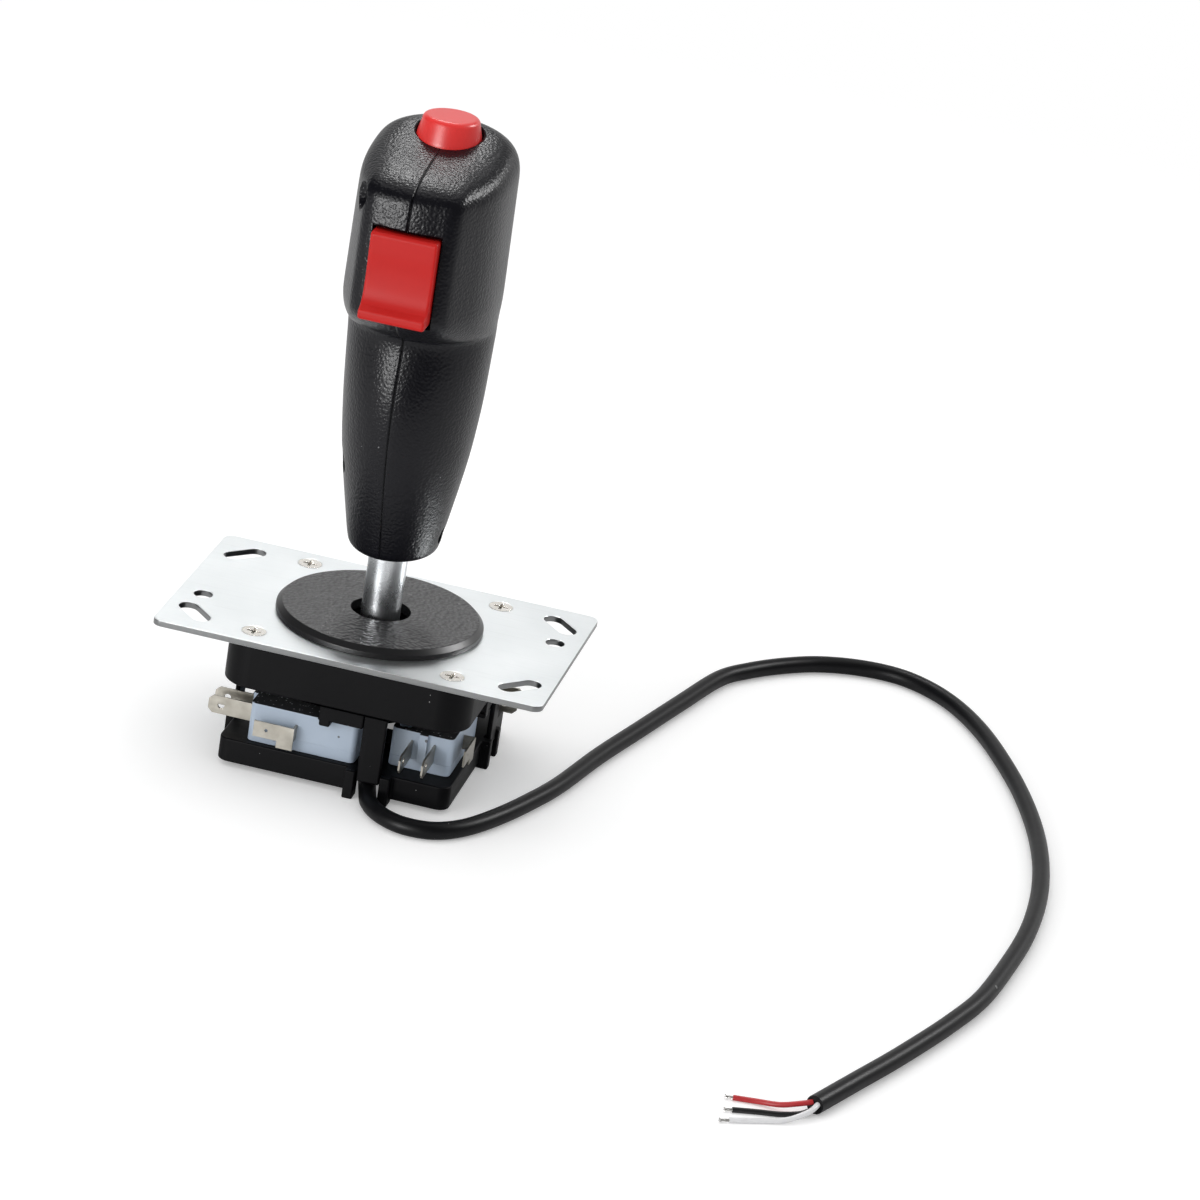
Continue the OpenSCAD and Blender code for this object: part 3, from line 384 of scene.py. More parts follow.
# Plate screws: four countersunk cross-head machine screws of nickel-plated steel. They pass through
# the plate and hold the housing under it.
nickel_screw = grained_finish(
    "nickel_screw", (1800, 5200, 420), (0.62, 0.58, 0.52), (0.9, 0.88, 0.84),
    rough=(0.14, 0.34), relief=(0.015, 0.3), Metallic=1.0,
)
from_solid("plate_screws", "countersunk_screws", nickel_screw, "base", edge=0.14)

# Dust washer: a moulded disc that lies loose on the plate round the shaft, with leather grain on its
# face and a smooth bevelled rim.
washer_bore_r, washer_r, washer_t, washer_bevel = 7.6, 26.3, 2.6, 1.3


def turned_mesh(name, profile, sides=128):
    """A mesh turned about the shaft's axis from (radius, height) points in millimetres."""
    points, faces, count = [], [], len(profile)
    for k in range(sides):
        a = 2 * math.pi * k / sides
        points += [(r * mm * math.cos(a), r * mm * math.sin(a), z * mm) for r, z in profile]
        b = (k + 1) % sides * count
        faces += [(k * count + i, b + i, b + i + 1, k * count + i + 1) for i in range(count - 1)]
    mesh = bpy.data.meshes.new(name)
    mesh.from_pydata(points, [], faces)
    weld = bmesh.new()
    weld.from_mesh(mesh)
    weld_gap = 0.0001 * mm
    bmesh.ops.remove_doubles(weld, verts=weld.verts, dist=weld_gap)
    bmesh.ops.dissolve_degenerate(weld, edges=weld.edges, dist=weld_gap)
    bmesh.ops.recalc_face_normals(weld, faces=weld.faces)
    weld.to_mesh(mesh)
    weld.free()
    return mesh


washer_plastic, tree, shader = new_finish("washer_plastic", Specular_IOR_Level=0.42)
grain = use_group(tree, mould_grain, Pebbles=1000, Tooth=2000, Patches=90)
flat_top = ramp(tree, facing_up(tree), 0.93, 0.985)
# Painted highlight: the pebble tops on the flat face are painted lighter than the rim and the hollows, for
# the bright gloss that the face catches.
painted_pebble_highlight = times(tree, grain["Pebble"], flat_top)
tree.links.new(tone_over(tree, painted_pebble_highlight, (0.012, 0.012, 0.013, 1), (0.05, 0.05, 0.052)), shader["Base Color"])
tree.links.new(spread(tree, grain["Tone"], 0.3, 0.42), shader["Roughness"])
sink(tree, shader, times(tree, grain["Height"], flat_top), 0.16, 0.9)
mesh_piece(
    turned_mesh("grained_washer", [
        (washer_bore_r, 0), (washer_r, 0), (washer_r, washer_t - washer_bevel),
        (washer_r - washer_bevel, washer_t), (washer_bore_r, washer_t), (washer_bore_r, 0),
    ]),
    washer_plastic, "base", "dust_washer", edge=0.16, segments=3, clamped=False,
)

# Upper housing: one black moulding with the ball's socket, a lip over each switch and four snap posts
# that reach down to the tray.
housing_plastic = grained_finish(
    "housing_plastic", (700, 2400, 55), (0.0015, 0.0015, 0.002), (0.004, 0.004, 0.005),
    rough=(0.34, 0.6), relief=(0.03, 0.3), Specular_IOR_Level=0.09,
)
add_dust(housing_plastic, cells=420, share=0.3, size=0.12, colour=(0.3, 0.3, 0.3))
from_solid(
    "upper_housing", "socket_housing", housing_plastic, "base",
    edge=0.45, segments=3, clamped=False,
)

# Lower tray: a black moulding that carries the switches on pegs, with a square gate for the actuator
# and ribs that the snap posts hook between.
tray_plastic = housing_plastic.copy()
tray_plastic.name = "tray_plastic"
from_solid(
    "lower_tray", "switch_tray", tray_plastic, "base", edge=0.4, segments=3, clamped=False
)

# Switches: four snap-action switches in a pinwheel, each a blue-grey moulded case on a cover of the
# same plastic, with three tinned tabs and a white plunger that faces the actuator.
switch_plastic = grained_finish(
    "switch_plastic", (1500, 4200, 120), (0.385, 0.465, 0.57), (0.435, 0.515, 0.62),
    rough=(0.36, 0.5), relief=(0.03, 0.3), IOR=1.5,
)
add_dust(switch_plastic, cells=330, share=0.08, size=0.14, colour=(0.12, 0.13, 0.15))
tree = switch_plastic.node_tree
# Painted shade: the cases' upward faces are painted near-black, for the shade and the dark reflection of the
# housing above them.
shaded_top = put(tree, "Math", {0: facing_up(tree), 1: 0.9}, operation="GREATER_THAN").outputs[0]
lay_over(switch_plastic, shaded_top, (0.03, 0.032, 0.036))
# Painted glints: pale specks on those upward faces stand for the sparkle of light on their rough grain.
painted_glints = use_group(tree, dust_specks, Cells=1500, Share=0.3, Size=0.4)
lay_over(switch_plastic, times(tree, shaded_top, painted_glints["Mask"]), (0.55, 0.57, 0.6))

cover_plastic = grained_finish(
    "cover_plastic", (1500, 4200, 120), (0.365, 0.445, 0.55), (0.415, 0.495, 0.6),
    rough=(0.38, 0.52), relief=(0.03, 0.3), IOR=1.5,
)

tinned_tab = grained_finish(
    "tinned_tab", (1300, 4600, 260), (0.28, 0.26, 0.22), (0.5, 0.48, 0.43),
    rough=(0.22, 0.46), relief=(0.02, 0.3), Metallic=1.0,
)
add_scratches(tinned_tab, scale=160, share=0.5, colour=(0.4, 0.37, 0.32))

plunger_plastic = grained_finish(
    "plunger_plastic", (2400, 6000, 400), (0.6, 0.6, 0.58), (0.78, 0.78, 0.76),
    relief=(0.01, 0.2), IOR=1.5, Roughness=0.4,
)

for side in ("front", "right", "back", "left"):
    from_solid(
        f"case_{side}", f"switch_case_{side}", switch_plastic, "base", edge=0.32, segments=3
    )
    from_solid(
        f"cover_{side}", f"switch_cover_{side}", cover_plastic, "base", edge=0.28, segments=3
    )
    from_solid(f"tabs_{side}", f"switch_tabs_{side}", tinned_tab, "base", edge=0.1)
    from_solid(
        f"plunger_{side}", f"switch_plunger_{side}", plunger_plastic, f"plunger_{side}",
        edge=0.25, segments=3,
    )


# Pivot: a black ball on the shaft turns in the housing's socket, two steel pins keep it from spinning,
# and a tapered spring under the housing brings the stick upright.
def dress(node, finish):
    """A finish for a node whose solid is shown as it is."""
    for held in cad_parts[node].material_slots:
        held.material = finish


ball_plastic = grained_finish(
    "ball_plastic", (1600, 5200, 160), (0.008, 0.008, 0.009), (0.02, 0.02, 0.021), rough=(0.25, 0.4), IOR=1.5
)
dress("pivot_ball", ball_plastic)

pin_steel = grained_finish(
    "pin_steel", (1600, 5200, 300), (0.4, 0.4, 0.41), (0.58, 0.58, 0.59), rough=(0.25, 0.42), Metallic=1.0
)
dress("pivot_pins", pin_steel)

spring_steel = grained_finish(
    "spring_steel", (2400, 6000, 500), (0.46, 0.46, 0.47), (0.66, 0.66, 0.66), rough=(0.2, 0.4), Metallic=1.0
)
dress("centring_spring", spring_steel)

# Actuator and ring: a natural nylon collar that slides on the shaft's foot and pushes the plungers,
# and a sprung steel ring that snaps into the shaft's groove and holds it on.
actuator_plastic = grained_finish(
    "actuator_plastic", (1300, 4600, 150), (0.66, 0.62, 0.52), (0.76, 0.73, 0.64),
    rough=(0.32, 0.48), relief=(0.02, 0.2), IOR=1.52, Subsurface_Weight=0.15,
)
from_solid("actuator", "actuator_collar", actuator_plastic, "stick", edge=0.3, segments=3)

ring_steel = pin_steel.copy()
ring_steel.name = "ring_steel"
from_solid("retaining_ring", "snap_ring", ring_steel, "stick", edge=0.1)

# Shaft: a steel tube, turned and bright zinc-plated, with a groove for the snap ring. The lead of the
# grip's switches runs inside it.
shaft_r, shaft_bore_r, shaft_chamfer = 5, 3, 0.4
shaft_foot, shaft_head = -26.8, 36
groove_r, groove_low, groove_high = 4.2, -26.15, -25.25
plated_shaft = grained_finish(
    "plated_shaft", (1500, 5000, 170), (0.58, 0.6, 0.62), (0.8, 0.82, 0.84),
    rough=(0.2, 0.36), relief=(0.012, 0.3), Metallic=1.0,
)
add_scratches(plated_shaft, scale=120, share=0.4, colour=(0.45, 0.46, 0.47))
mesh_piece(
    turned_mesh("plated_tube", [
        (shaft_bore_r, shaft_foot),
        (shaft_r - shaft_chamfer, shaft_foot), (shaft_r, shaft_foot + shaft_chamfer),
        (shaft_r, groove_low), (groove_r, groove_low), (groove_r, groove_high), (shaft_r, groove_high),
        (shaft_r, shaft_head - shaft_chamfer), (shaft_r - shaft_chamfer, shaft_head),
        (shaft_bore_r, shaft_head), (shaft_bore_r, shaft_foot),
    ], sides=96),
    plated_shaft, "stick", "shaft", edge=0.08,
)

dress("grip_lead", cable_sheath)

# Grip: two black moulded halves that meet on a seam round the shaft, closed by two screws from the
# left. Its head juts forward over the fingers and carries the trigger's window and the button's hole.
grip_bottom, grip_top = 19.3, 128.4
foot_r, waist_r, neck_r, swell = 11.7, 16, 18.4, 20.6
nose_reach, nose_half_w, nose_corner_r, head_back = 32.5, 13.2, 6, 17
head_bottom, head_edge, crown_start = 81, 90.5, 117.6
crown_r, crown_slope = 7.2, math.tan(math.radians(14.5))
nose_bulge, nose_lean, lean_start = 0.8, 0.8, 110
head_swell = 0.4
flare_power, ledge_power = 2.8, 1.5
crown_front_power, crown_side_power, crown_nose_ease = 1.95, 3.2, 1.1
grip_wall = 2.2
grip_bore_r = shaft_r + 0.05
half_points = 26


def between(a, b, t):
    return a + (b - a) * t


def along(z, table):
    return float(np.interp(z, [row[0] for row in table], [row[1] for row in table]))


def unit(t):
    return min(1, max(0, t))


def round_in(t, power):
    return (1 - (1 - t) ** power) ** (1 / power)


def round_over(t, power):
    return 1 - (1 - t ** power) ** (1 / power)


grip_widths = [
    (grip_bottom, foot_r - 1.7), (20, foot_r - 0.6), (21.5, foot_r), (36, waist_r - 1.7), (46, waist_r),
    (60, between(waist_r, neck_r, 0.55)), (75, neck_r - 0.3), (head_bottom, neck_r),
]
grip_fronts = [
    (grip_bottom, foot_r - 2), (20, foot_r - 1), (21.5, foot_r - 0.4), (36, swell - 4.9), (46, swell - 2.1),
    (58, swell - 0.1), (66, swell), (75, swell - 1.4), (head_bottom, swell - 2.4),
]
grip_shifts = [(grip_bottom, 3), (60, 2.4), (head_bottom, 0)]


def oval_half(half_w, front, back):
    """Right half of an oval, from its front round to its back."""
    turns = [math.pi * i / (half_points - 1) for i in range(half_points)]
    return [(half_w * math.sin(t), -(front if t < math.pi / 2 else back) * math.cos(t)) for t in turns]


def head_half(half_w):
    """Right half of the head's outline: bulged nose, its corner, the flaring side and the round back."""
    inner_w, inner_reach = nose_half_w - nose_corner_r, nose_reach - nose_corner_r
    flare = math.atan(flare_power * (half_w - nose_half_w) / inner_reach)
    outline = [(inner_w * i / 3, nose_bulge * (i / 3) ** 2 - nose_reach) for i in range(3)]
    for i in range(6):
        a = (math.pi / 2 - flare) * i / 5
        corner_y = (nose_corner_r - nose_bulge) * math.cos(a)
        outline.append((inner_w + nose_corner_r * math.sin(a), -inner_reach - corner_y))
    for i in range(1, 7):
        side = between(nose_half_w, half_w, 1 - (1 - i / 7) ** flare_power)
        outline.append((side, -inner_reach * (1 - i / 7)))
    for i in range(11):
        a = math.pi * i / 20
        outline.append((half_w * math.cos(a), head_back * math.sin(a)))
    return outline


def grip_ring(z):
    """Half outline of the grip at one height, from the front seam round to the back seam."""
    half_w, shift = along(z, grip_widths), along(z, grip_shifts)
    lower = [(x, y + shift) for x, y in oval_half(half_w, along(z, grip_fronts) + shift, half_w - shift)]
    ledge = round_in(unit((z - head_bottom) / (head_edge - head_bottom)), ledge_power)
    head = head_half(neck_r + head_swell - head_swell * unit((z - head_edge) / (crown_start - head_edge)))
    rise = unit((z - crown_start) / (grip_top - crown_start))
    front_rise = round_over(rise, crown_front_power)
    lean = nose_lean * unit((z - lean_start) / (crown_start - lean_start))
    ring = []
    for low, high, top in zip(lower, head, oval_half(crown_r, crown_r, crown_r)):
        forward = unit(-high[1] / nose_reach)
        side_rise = round_over(rise, crown_side_power - crown_nose_ease * forward)
        x = between(between(low[0], high[0], ledge), top[0], side_rise)
        y = between(between(low[1], high[1], ledge), top[1], front_rise) + lean * forward ** 2
        ring.append((x * mm, y * mm, (z + crown_slope * y * front_rise) * mm))
    return ring


grip_heights = [grip_bottom, 20, 21.5] + [between(21.5, head_bottom, i / 9) for i in range(1, 10)]
grip_heights += [between(head_bottom, head_edge, t) for t in (0.08, 0.2, 0.38, 0.58, 0.8, 1)]
grip_heights += [between(head_edge, crown_start, i / 5) for i in range(1, 6)]
grip_heights += [between(crown_start, grip_top, math.sin(math.pi * i / 20)) for i in range(1, 11)]

bore = [(x * mm, y * mm, grip_bottom * mm) for x, y in oval_half(grip_bore_r, grip_bore_r, grip_bore_r)]
lip = [tuple(Vector(b).lerp(Vector(r), 0.7)) for b, r in zip(bore, grip_ring(grip_bottom))]
cage_rings = [bore, lip] + [grip_ring(z) for z in grip_heights]
loop_len = 2 * half_points - 2
cage_points, cage_faces = [], []
for i, ring in enumerate(cage_rings):
    cage_points += ring + [(-x, y, z) for x, y, z in reversed(ring[1:-1])]
    if i:
        low, high = (i - 1) * loop_len, i * loop_len
        for k in range(loop_len):
            n = (k + 1) % loop_len
            cage_faces.append((low + k, low + n, high + n, high + k))
cage = bpy.data.meshes.new("grip_cage")
cage.from_pydata(cage_points, [], cage_faces)
cage_piece = new_object("grip_cage", cage)
cage_piece.modifiers.new("smooth", "SUBSURF").levels = 2


def settled(piece, name):
    """The piece's mesh with its modifiers applied, and the piece itself taken away."""
    bpy.context.view_layer.update()
    mesh = bpy.data.meshes.new_from_object(piece.evaluated_get(bpy.context.evaluated_depsgraph_get()))
    mesh.name = name
    bpy.data.objects.remove(piece)
    return mesh


def tool_piece(tool, name):
    mesh = bpy.data.meshes.new(name)
    tool.to_mesh(mesh)
    tool.free()
    return new_object(name, mesh)


def cylinder_tool(name, length, radius, sides, placed):
    tool = bmesh.new()
    bmesh.ops.create_cone(
        tool, cap_ends=True, segments=sides, radius1=radius * mm, radius2=radius * mm, depth=length * mm,
        matrix=placed,
    )
    return tool_piece(tool, name)


def rod_tool(name, start, end, y, z, radius, sides=48):
    """A cutting or filling cylinder along X, in millimetres."""
    placed = Matrix.Translation(Vector(((start + end) / 2, y, z)) * mm) @ Matrix.Rotation(math.pi / 2, 4, "Y")
    return cylinder_tool(name, abs(end - start), radius, sides, placed)


def post_tool(name, low, high, radius, sides=96):
    """A cutting cylinder on the shaft's axis, in millimetres."""
    return cylinder_tool(name, high - low, radius, sides, Matrix.Translation((0, 0, (low + high) / 2 * mm)))


def box_tool(name, low, high):
    """A cutting block between two corners, in millimetres."""
    tool = bmesh.new()
    bmesh.ops.create_cube(tool, size=1)
    middle = [(a + b) / 2 * mm for a, b in zip(low, high)]
    for v in tool.verts:
        v.co = Vector([m + c * (b - a) * mm for m, c, a, b in zip(middle, v.co, low, high)])
    return tool_piece(tool, name)


def worked(piece, steps, name):
    """The piece's mesh after each tool has been joined to it or cut from it."""
    for operation, tool in steps:
        change = piece.modifiers.new(tool.name, "BOOLEAN")
        change.operation = operation
        change.object = tool
        change.solver = "MANIFOLD"
    mesh = settled(piece, name)
    for operation, tool in steps:
        bpy.data.objects.remove(tool)
    return mesh


smooth_grip = settled(cage_piece, "smooth_grip")
grip_plastic = grained_finish(
    "grip_plastic", (1500, 2000, 40), (0.003, 0.003, 0.005), (0.006, 0.006, 0.009),
    rough=(0.28, 0.4), relief=(0.07, 0.85), Specular_IOR_Level=0.23,
)
add_dust(grip_plastic, cells=420, share=0.16, size=0.09, colour=(0.22, 0.22, 0.23))

seam_gap = 0.08
seam_edge = seam_gap / 2 + 0.03
seam_reach, seam_height = 60, 150
button_hole_r, button_hole_low, button_hole_high = 8.28, 110, 140
window_half_w, window_low, window_high = 8.6, 88.4, 111.7
window_front, window_back = -40, -24
screw_places = [(-5.5, 42), (-26, 116.6)]
screw_seat_x, screw_seat_t = 9.6, 1.8
screw_hole_r, screw_hole_end = 1.55, -5
counterbore_r, boss_r, boss_under_skin = 3.4, 4.2, 1.1
past_skin_x, boss_outer_x = -30, -20
set_screw_z, set_screw_turn = 25, math.radians(12)
set_screw_hole_r, set_screw_hole_start, set_screw_hole_end = 2.6, 8.5, 20
for side, name in ((1, "right"), (-1, "left")):
    half = bmesh.new()
    half.from_mesh(smooth_grip)
    bmesh.ops.delete(
        half, geom=[f for f in half.faces if f.calc_center_median().x * side < 0], context="FACES"
    )
    skin = BVHTree.FromBMesh(half)
    shell = tool_piece(half, f"grip_{name}_shell")
    thickness = shell.modifiers.new("wall", "SOLIDIFY")
    thickness.thickness = grip_wall * mm
    thickness.offset = -1
    thickness.use_even_offset = True
    seam = shell.modifiers.new("seam", "BEVEL")
    seam.width = seam_edge * mm
    seam.segments = 2
    seam.limit_method = "ANGLE"
    seam.angle_limit = math.radians(70)
    steps = [
        ("DIFFERENCE", box_tool(
            "seam_slit", (-seam_gap / 2, -seam_reach, 0), (seam_gap / 2, seam_reach, seam_height)
        )),
        ("DIFFERENCE", post_tool("button_hole", button_hole_low, button_hole_high, button_hole_r)),
        ("DIFFERENCE", box_tool(
            "trigger_window",
            (-window_half_w, window_front, window_low), (window_half_w, window_back, window_high),
        )),
    ]
    if side > 0:
        access = rod_tool(
            "set_screw_hole", set_screw_hole_start, set_screw_hole_end, 0, set_screw_z, set_screw_hole_r
        )
        access.data.transform(Matrix.Rotation(set_screw_turn, 4, "Z"))
        steps.append(("DIFFERENCE", access))
    else:
        for k, (y, z) in enumerate(screw_places):
            boss = rod_tool(f"screw_boss_{k}", -screw_seat_x + screw_seat_t, past_skin_x, y, z, boss_r)
            for v in boss.data.vertices:
                if v.co.x < boss_outer_x * mm:
                    met = skin.ray_cast(Vector((0, v.co.y, v.co.z)), Vector((-1, 0, 0)))[0]
                    v.co.x = met.x + boss_under_skin * mm
            steps.append(("UNION", boss))
        for k, (y, z) in enumerate(screw_places):
            counterbore = rod_tool(f"counterbore_{k}", -screw_seat_x, past_skin_x, y, z, counterbore_r)
            hole = rod_tool(f"screw_hole_{k}", -screw_seat_x - 1, screw_hole_end, y, z, screw_hole_r, 24)
            steps += [("DIFFERENCE", counterbore), ("DIFFERENCE", hole)]
    shade_evenly(mesh_piece(
        worked(shell, steps, f"grip_half_{name}"), grip_plastic, "stick", f"grip_{name}"
    ))

# Grip screws and set screw: black steel cross-head screws that close the halves, and a socket screw
# that fixes the grip on the shaft.
grip_screw_steel = grained_finish(
    "grip_screw_steel", (1800, 5200, 400), (0.1, 0.1, 0.11), (0.24, 0.24, 0.25),
    rough=(0.28, 0.46), relief=(0.015, 0.3), Metallic=1.0,
)
from_solid("grip_screws", "grip_closing_screws", grip_screw_steel, "stick", edge=0.2)
dress("set_screw", grip_screw_steel)

# Thumb button: a red moulded cap with a flat top and tapered side, pushed up by a steel coil spring
# that shortens by the button's travel.
button_r, button_top, button_dish = 8.1, 132.6, 0.05
button_edge_r, button_edge_x = 1.3, 5.8
button_edge_turns = np.radians([9, 24, 39, 54, 69, 83])
flange_r, flange_low, flange_high, flange_bevel = 9.9, 120.1, 121.5, 0.2
stem_r, stem_foot = 2.6, 115.6
taper_start, taper_in, taper_up = 126.5, 0.05, 0.9
button_plastic = grained_finish(
    "button_plastic", (1600, 5200, 90), (0.74, 0.024, 0.022), (0.84, 0.034, 0.032),
    rough=(0.3, 0.42), relief=(0.012, 0.25), Specular_IOR_Level=0.45,
)
button_profile = [
    (0, stem_foot), (stem_r - flange_bevel, stem_foot), (stem_r, stem_foot + flange_bevel),
    (stem_r, flange_low), (flange_r - flange_bevel, flange_low), (flange_r, flange_low + flange_bevel),
    (flange_r, flange_high - flange_bevel), (flange_r - flange_bevel, flange_high),
    (button_r, flange_high), (button_r, taper_start), (button_r - taper_in, taper_start + taper_up),
]
for a in button_edge_turns:
    button_profile.append((
        button_edge_x + button_edge_r * math.cos(a), button_top - button_edge_r + button_edge_r * math.sin(a)
    ))
button_profile += [
    (button_edge_x - 0.4, button_top), (3, button_top - 0.6 * button_dish), (0, button_top - button_dish)
]
mesh_piece(
    turned_mesh("thumb_cap", button_profile),
    button_plastic, "thumb_button", "thumb_button", edge=0.05,
)
thumb_coil = from_solid("thumb_spring", "thumb_coil", spring_steel, "stick")
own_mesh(thumb_coil)

# Trigger: a red moulded paddle on a steel pin, with a scooped face and a lip under the finger. A small
# coil spring between a post in the grip and the paddle's back pushes it out.
trigger_half_w, trigger_edge_r = 8.3, 0.7
trigger_back, trigger_top, brow_y, brow_r = -26.5, 111.1, -34.5, 1.1
scoop = [(-34.15, 106), (-33.85, 102), (-33.8, 98.5), (-33.95, 96), (-34.4, 94.2), (-35.2, 92.9)]
scoop_steps = 4
lip_y, lip_top, lip_bottom, lip_back, lip_r = -36.5, 91.7, 89.7, -31.5, 0.75
heel = [(lip_back, lip_bottom), (-29.3, 90.7), (-29.3, 93.1)]
heel += [(trigger_back, 95.1), (trigger_back, trigger_top)]
pin_y, pin_z, pin_hole_r, pin_hole_half = -28, 108.3, 1.55, 10
trigger_plastic = grained_finish(
    "trigger_plastic", (1600, 5200, 70), (0.49, 0.01, 0.008), (0.55, 0.013, 0.011),
    rough=(0.38, 0.52), relief=(0.012, 0.25), Specular_IOR_Level=0.16,
)


def rounded_corner(before, corner, after, radius):
    """Points of an arc that rounds one corner of an outline."""
    before, corner, after = Vector(before), Vector(corner), Vector(after)
    a, b = (before - corner).normalized(), (after - corner).normalized()
    half = a.angle(b) / 2
    middle = corner + (a + b).normalized() * radius / math.sin(half)
    first, last = corner + a * radius / math.tan(half), corner + b * radius / math.tan(half)
    return [middle + (first - middle).slerp(last - middle, i / 6) for i in range(7)]


trigger_side = rounded_corner((trigger_back, trigger_top), (brow_y, trigger_top), scoop[0], brow_r)
trigger_side += [Vector((p.y, p.z)) / mm for p in smooth_route([(0, y, z) for y, z in scoop], scoop_steps)]
trigger_side += rounded_corner(scoop[-1], (lip_y, lip_top), (lip_y, lip_bottom), lip_r)
trigger_side += rounded_corner((lip_y, lip_top), (lip_y, lip_bottom), (lip_back, lip_bottom), lip_r)
trigger_side += [Vector(p) for p in heel]
count = len(trigger_side)
inward = []
for i, p in enumerate(trigger_side):
    a = (p - trigger_side[i - 1]).orthogonal().normalized()
    b = (trigger_side[(i + 1) % count] - p).orthogonal().normalized()
    inward.append((a + b) / (1 + a.dot(b)))
sections = []
for a in [math.pi * i / 10 for i in reversed(range(6))]:
    x = -trigger_half_w + trigger_edge_r * (1 - math.sin(a))
    sections.append((x, trigger_edge_r * (1 - math.cos(a))))
sections += [(-x, inset) for x, inset in reversed(sections)]
paddle = bmesh.new()
for x, inset in sections:
    for p, step in zip(trigger_side, inward):
        spot = p + step * inset
        paddle.verts.new(Vector((x, spot.x, spot.y)) * mm)
paddle.verts.ensure_lookup_table()
for s in range(len(sections) - 1):
    for i in range(count):
        n = (i + 1) % count
        corners = (s * count + i, s * count + n, (s + 1) * count + n, (s + 1) * count + i)
        paddle.faces.new([paddle.verts[k] for k in corners])
paddle.faces.new(paddle.verts[:count])
paddle.faces.new(reversed(paddle.verts[-count:]))
bmesh.ops.recalc_face_normals(paddle, faces=paddle.faces)
pin_hole = rod_tool("pin_hole", -pin_hole_half, pin_hole_half, pin_y, pin_z, pin_hole_r)
shade_evenly(mesh_piece(
    worked(tool_piece(paddle, "trigger_blank"), [("DIFFERENCE", pin_hole)], "trigger_paddle"),
    trigger_plastic, "trigger", "trigger",
))
dress("trigger_pin", pin_steel)
trigger_coil = from_solid("trigger_spring", "trigger_coil", spring_steel, "stick")
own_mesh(trigger_coil)

# Grip switches: two small snap switches in black plastic cases. They sit on pegs inside the grip,
# behind the trigger and under the button.
mini_switch_plastic = grained_finish(
    "mini_switch_plastic", (1600, 5200, 150), (0.008, 0.008, 0.009), (0.018, 0.018, 0.019),
    rough=(0.36, 0.5), relief=(0.02, 0.25), IOR=1.5,
)
for node in ("thumb_switch", "trigger_switch"):
    from_solid(node, f"{node}_body", mini_switch_plastic, "stick", edge=0.2)

# Floor: a wide white sweep. Seen by the camera and in reflections it is a little brighter than the
# light makes it, so that it ends in white and still keeps the shadow. What the gloss sees of it far in
# front, where the sheet ends in a dark room, is dark.
floor_reach = 6
floor_lift, floor_lift_in_gloss = 0.23, 0.3
room_glow = 0.02
dark_ahead, dark_from_left, white_far_off = (-0.2, -0.34), (-0.22, -0.1), (0.25, 0.7)
white = (1, 1, 1, 1)
floor_paint = bpy.data.materials.new("floor_paint")
floor_paint.use_nodes = True
tree = floor_paint.node_tree
tree.nodes.remove(tree.nodes["Principled BSDF"])
rays = put(tree, "LightPath").outputs
seen = put(tree, "Math", {
    0: rays["Is Glossy Ray"], 1: floor_lift_in_gloss, 2: rays["Is Camera Ray"]
}, operation="MULTIPLY_ADD")
seen = put(tree, "Math", {0: seen.outputs[0], 1: rays["Is Transmission Ray"]}, operation="MAXIMUM")
glow = put(tree, "Emission", {"Color": white, "Strength": times(tree, seen.outputs[0], floor_lift)})
paint = put(tree, "BsdfDiffuse", {"Color": (0.9, 0.9, 0.9, 1)})
lit = put(tree, "AddShader", {0: glow.outputs[0], 1: paint.outputs[0]})
spot = put(tree, "NewGeometry").outputs["Position"]
spot_axes = put(tree, "SeparateXYZ", {"Vector": spot}).outputs
in_front = times(tree, ramp(tree, spot_axes["Y"], *dark_ahead), ramp(tree, spot_axes["X"], *dark_from_left))
in_front = times(tree, in_front, rays["Is Glossy Ray"])
room = put(tree, "Emission", {"Color": white, "Strength": room_glow})
surface = put(tree, "MixShader", {0: in_front, 1: lit.outputs[0], 2: room.outputs[0]})
distance = put(tree, "VectorMath", {0: spot}, operation="LENGTH").outputs["Value"]
far_off = times(tree, ramp(tree, distance, *white_far_off), rays["Is Camera Ray"])
backdrop = put(tree, "Emission", {"Color": white, "Strength": 1})
surface = put(tree, "MixShader", {0: far_off, 1: surface.outputs[0], 2: backdrop.outputs[0]})
tree.links.new(surface.outputs[0], tree.nodes["Material Output"].inputs["Surface"])
floor_corners = [(-floor_reach, -floor_reach), (floor_reach, -floor_reach)]
floor_corners += [(floor_reach, floor_reach), (-floor_reach, floor_reach)]
floor_mesh = bpy.data.meshes.new("floor")
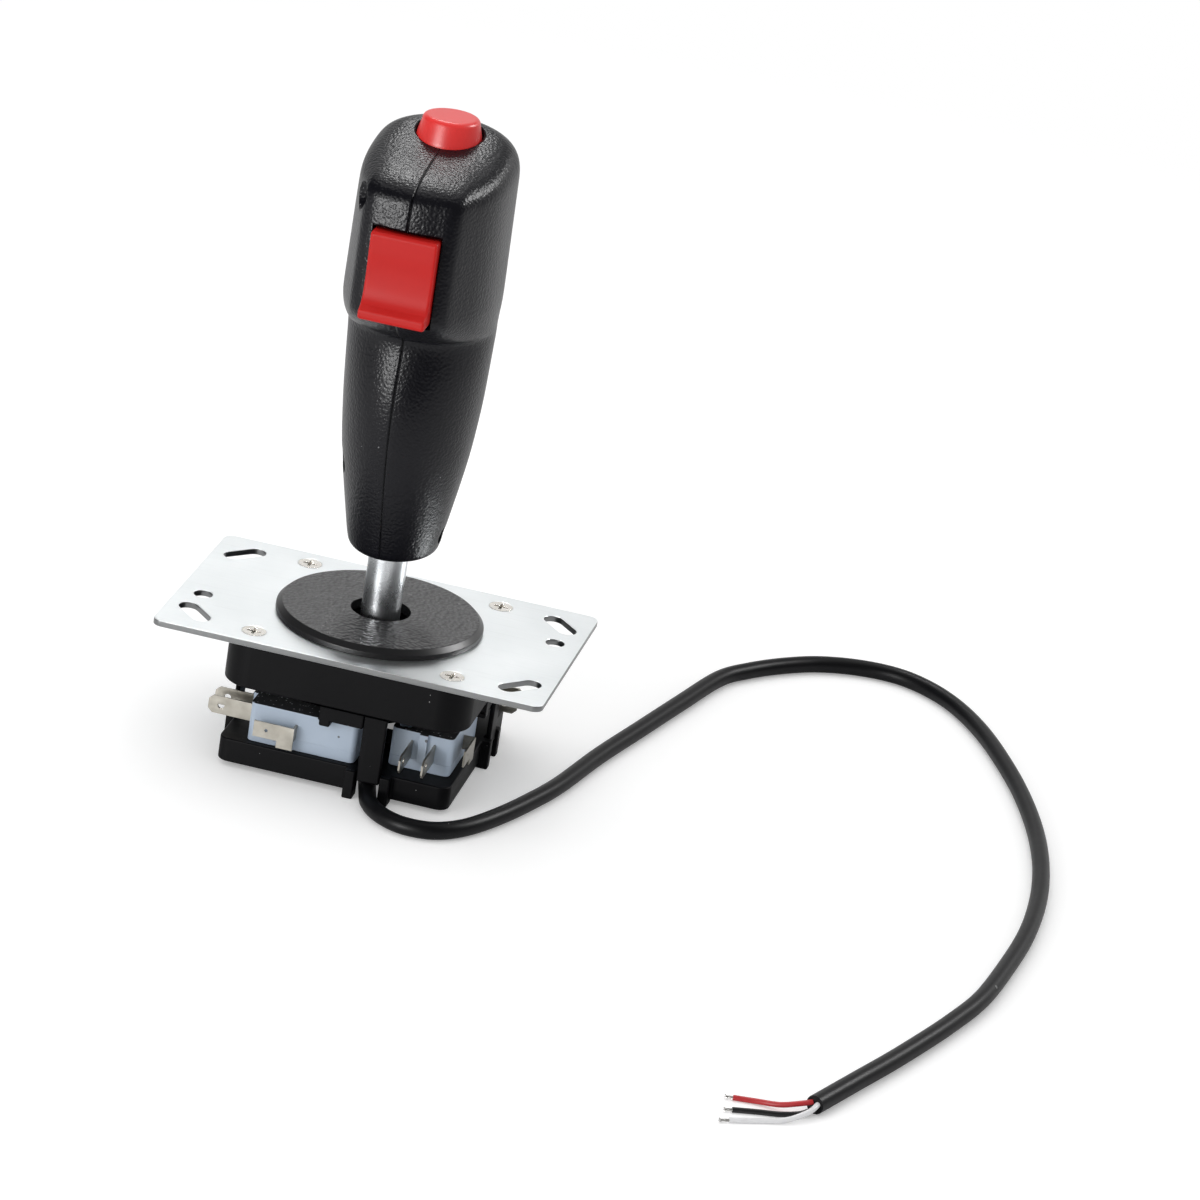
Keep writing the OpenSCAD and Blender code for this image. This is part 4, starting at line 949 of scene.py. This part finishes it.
floor_mesh.from_pydata([(x, y, floor_z * mm) for x, y in floor_corners], [], [(0, 1, 2, 3)])
floor_mesh.materials.append(floor_paint)
floor = new_object("floor", floor_mesh)

# Light: a soft box overhead and a panel at the left front, in a pale room. Three bright cards, at the
# back, the left front and the right, show only in the gloss. What the gloss sees of the room is white
# at the back and dark in front and above.
room_light = 0.7
lamp_aim = Vector((0, 0, 0.04))
world = bpy.data.worlds.new("pale_room")
bpy.context.scene.world = world
world.use_nodes = True
tree = world.node_tree
rays = put(tree, "LightPath").outputs
way = put(tree, "SeparateXYZ", {"Vector": put(tree, "TexCoord").outputs["Generated"]}).outputs
behind = ramp(tree, way["Y"], 0.35, 0.85, 0.05, 0.95, interpolation_type="SMOOTHSTEP")
under = ramp(tree, way["Z"], 0.42, 0.58, 1, 0.12)
mirrored = times(tree, behind, under)
plain = spread(tree, rays["Is Camera Ray"], room_light, 1)
level = put(tree, "Mix", {"Factor": rays["Is Glossy Ray"], 2: plain, 3: mirrored}, data_type="FLOAT")
background = tree.nodes["Background"].inputs
background["Color"].default_value = white
tree.links.new(level.outputs[0], background["Strength"])


def soft_box(name, place_at, size, power, gloss_only=False):
    """A flat lamp, wide by high, that looks at the grip."""
    lamp = bpy.data.lights.new(name, "AREA")
    lamp.shape = "RECTANGLE"
    lamp.size, lamp.size_y = size
    lamp.energy = power
    held = new_object(name, lamp)
    held.location = place_at
    held.visible_diffuse = not gloss_only
    held.rotation_mode = "QUATERNION"
    held.rotation_quaternion = (lamp_aim - Vector(place_at)).to_track_quat("-Z", "Y")


soft_box("overhead_box", (-0.15, 0.4, 1.15), (1.1, 1.1), 4.2)
soft_box("left_panel", (-0.5, -0.96, 0.36), (0.6, 0.5), 4)
soft_box("back_card", (-0.24, 0.74, 0.96), (0.15, 0.3), 3.2, gloss_only=True)
soft_box("left_card", (-0.46, -1.02, 0.05), (0.36, 0.17), 9, gloss_only=True)
soft_box("right_card", (0.82, 0.52, 0.72), (0.34, 0.34), 9, gloss_only=True)

bpy.context.scene.view_settings.view_transform = "Standard"
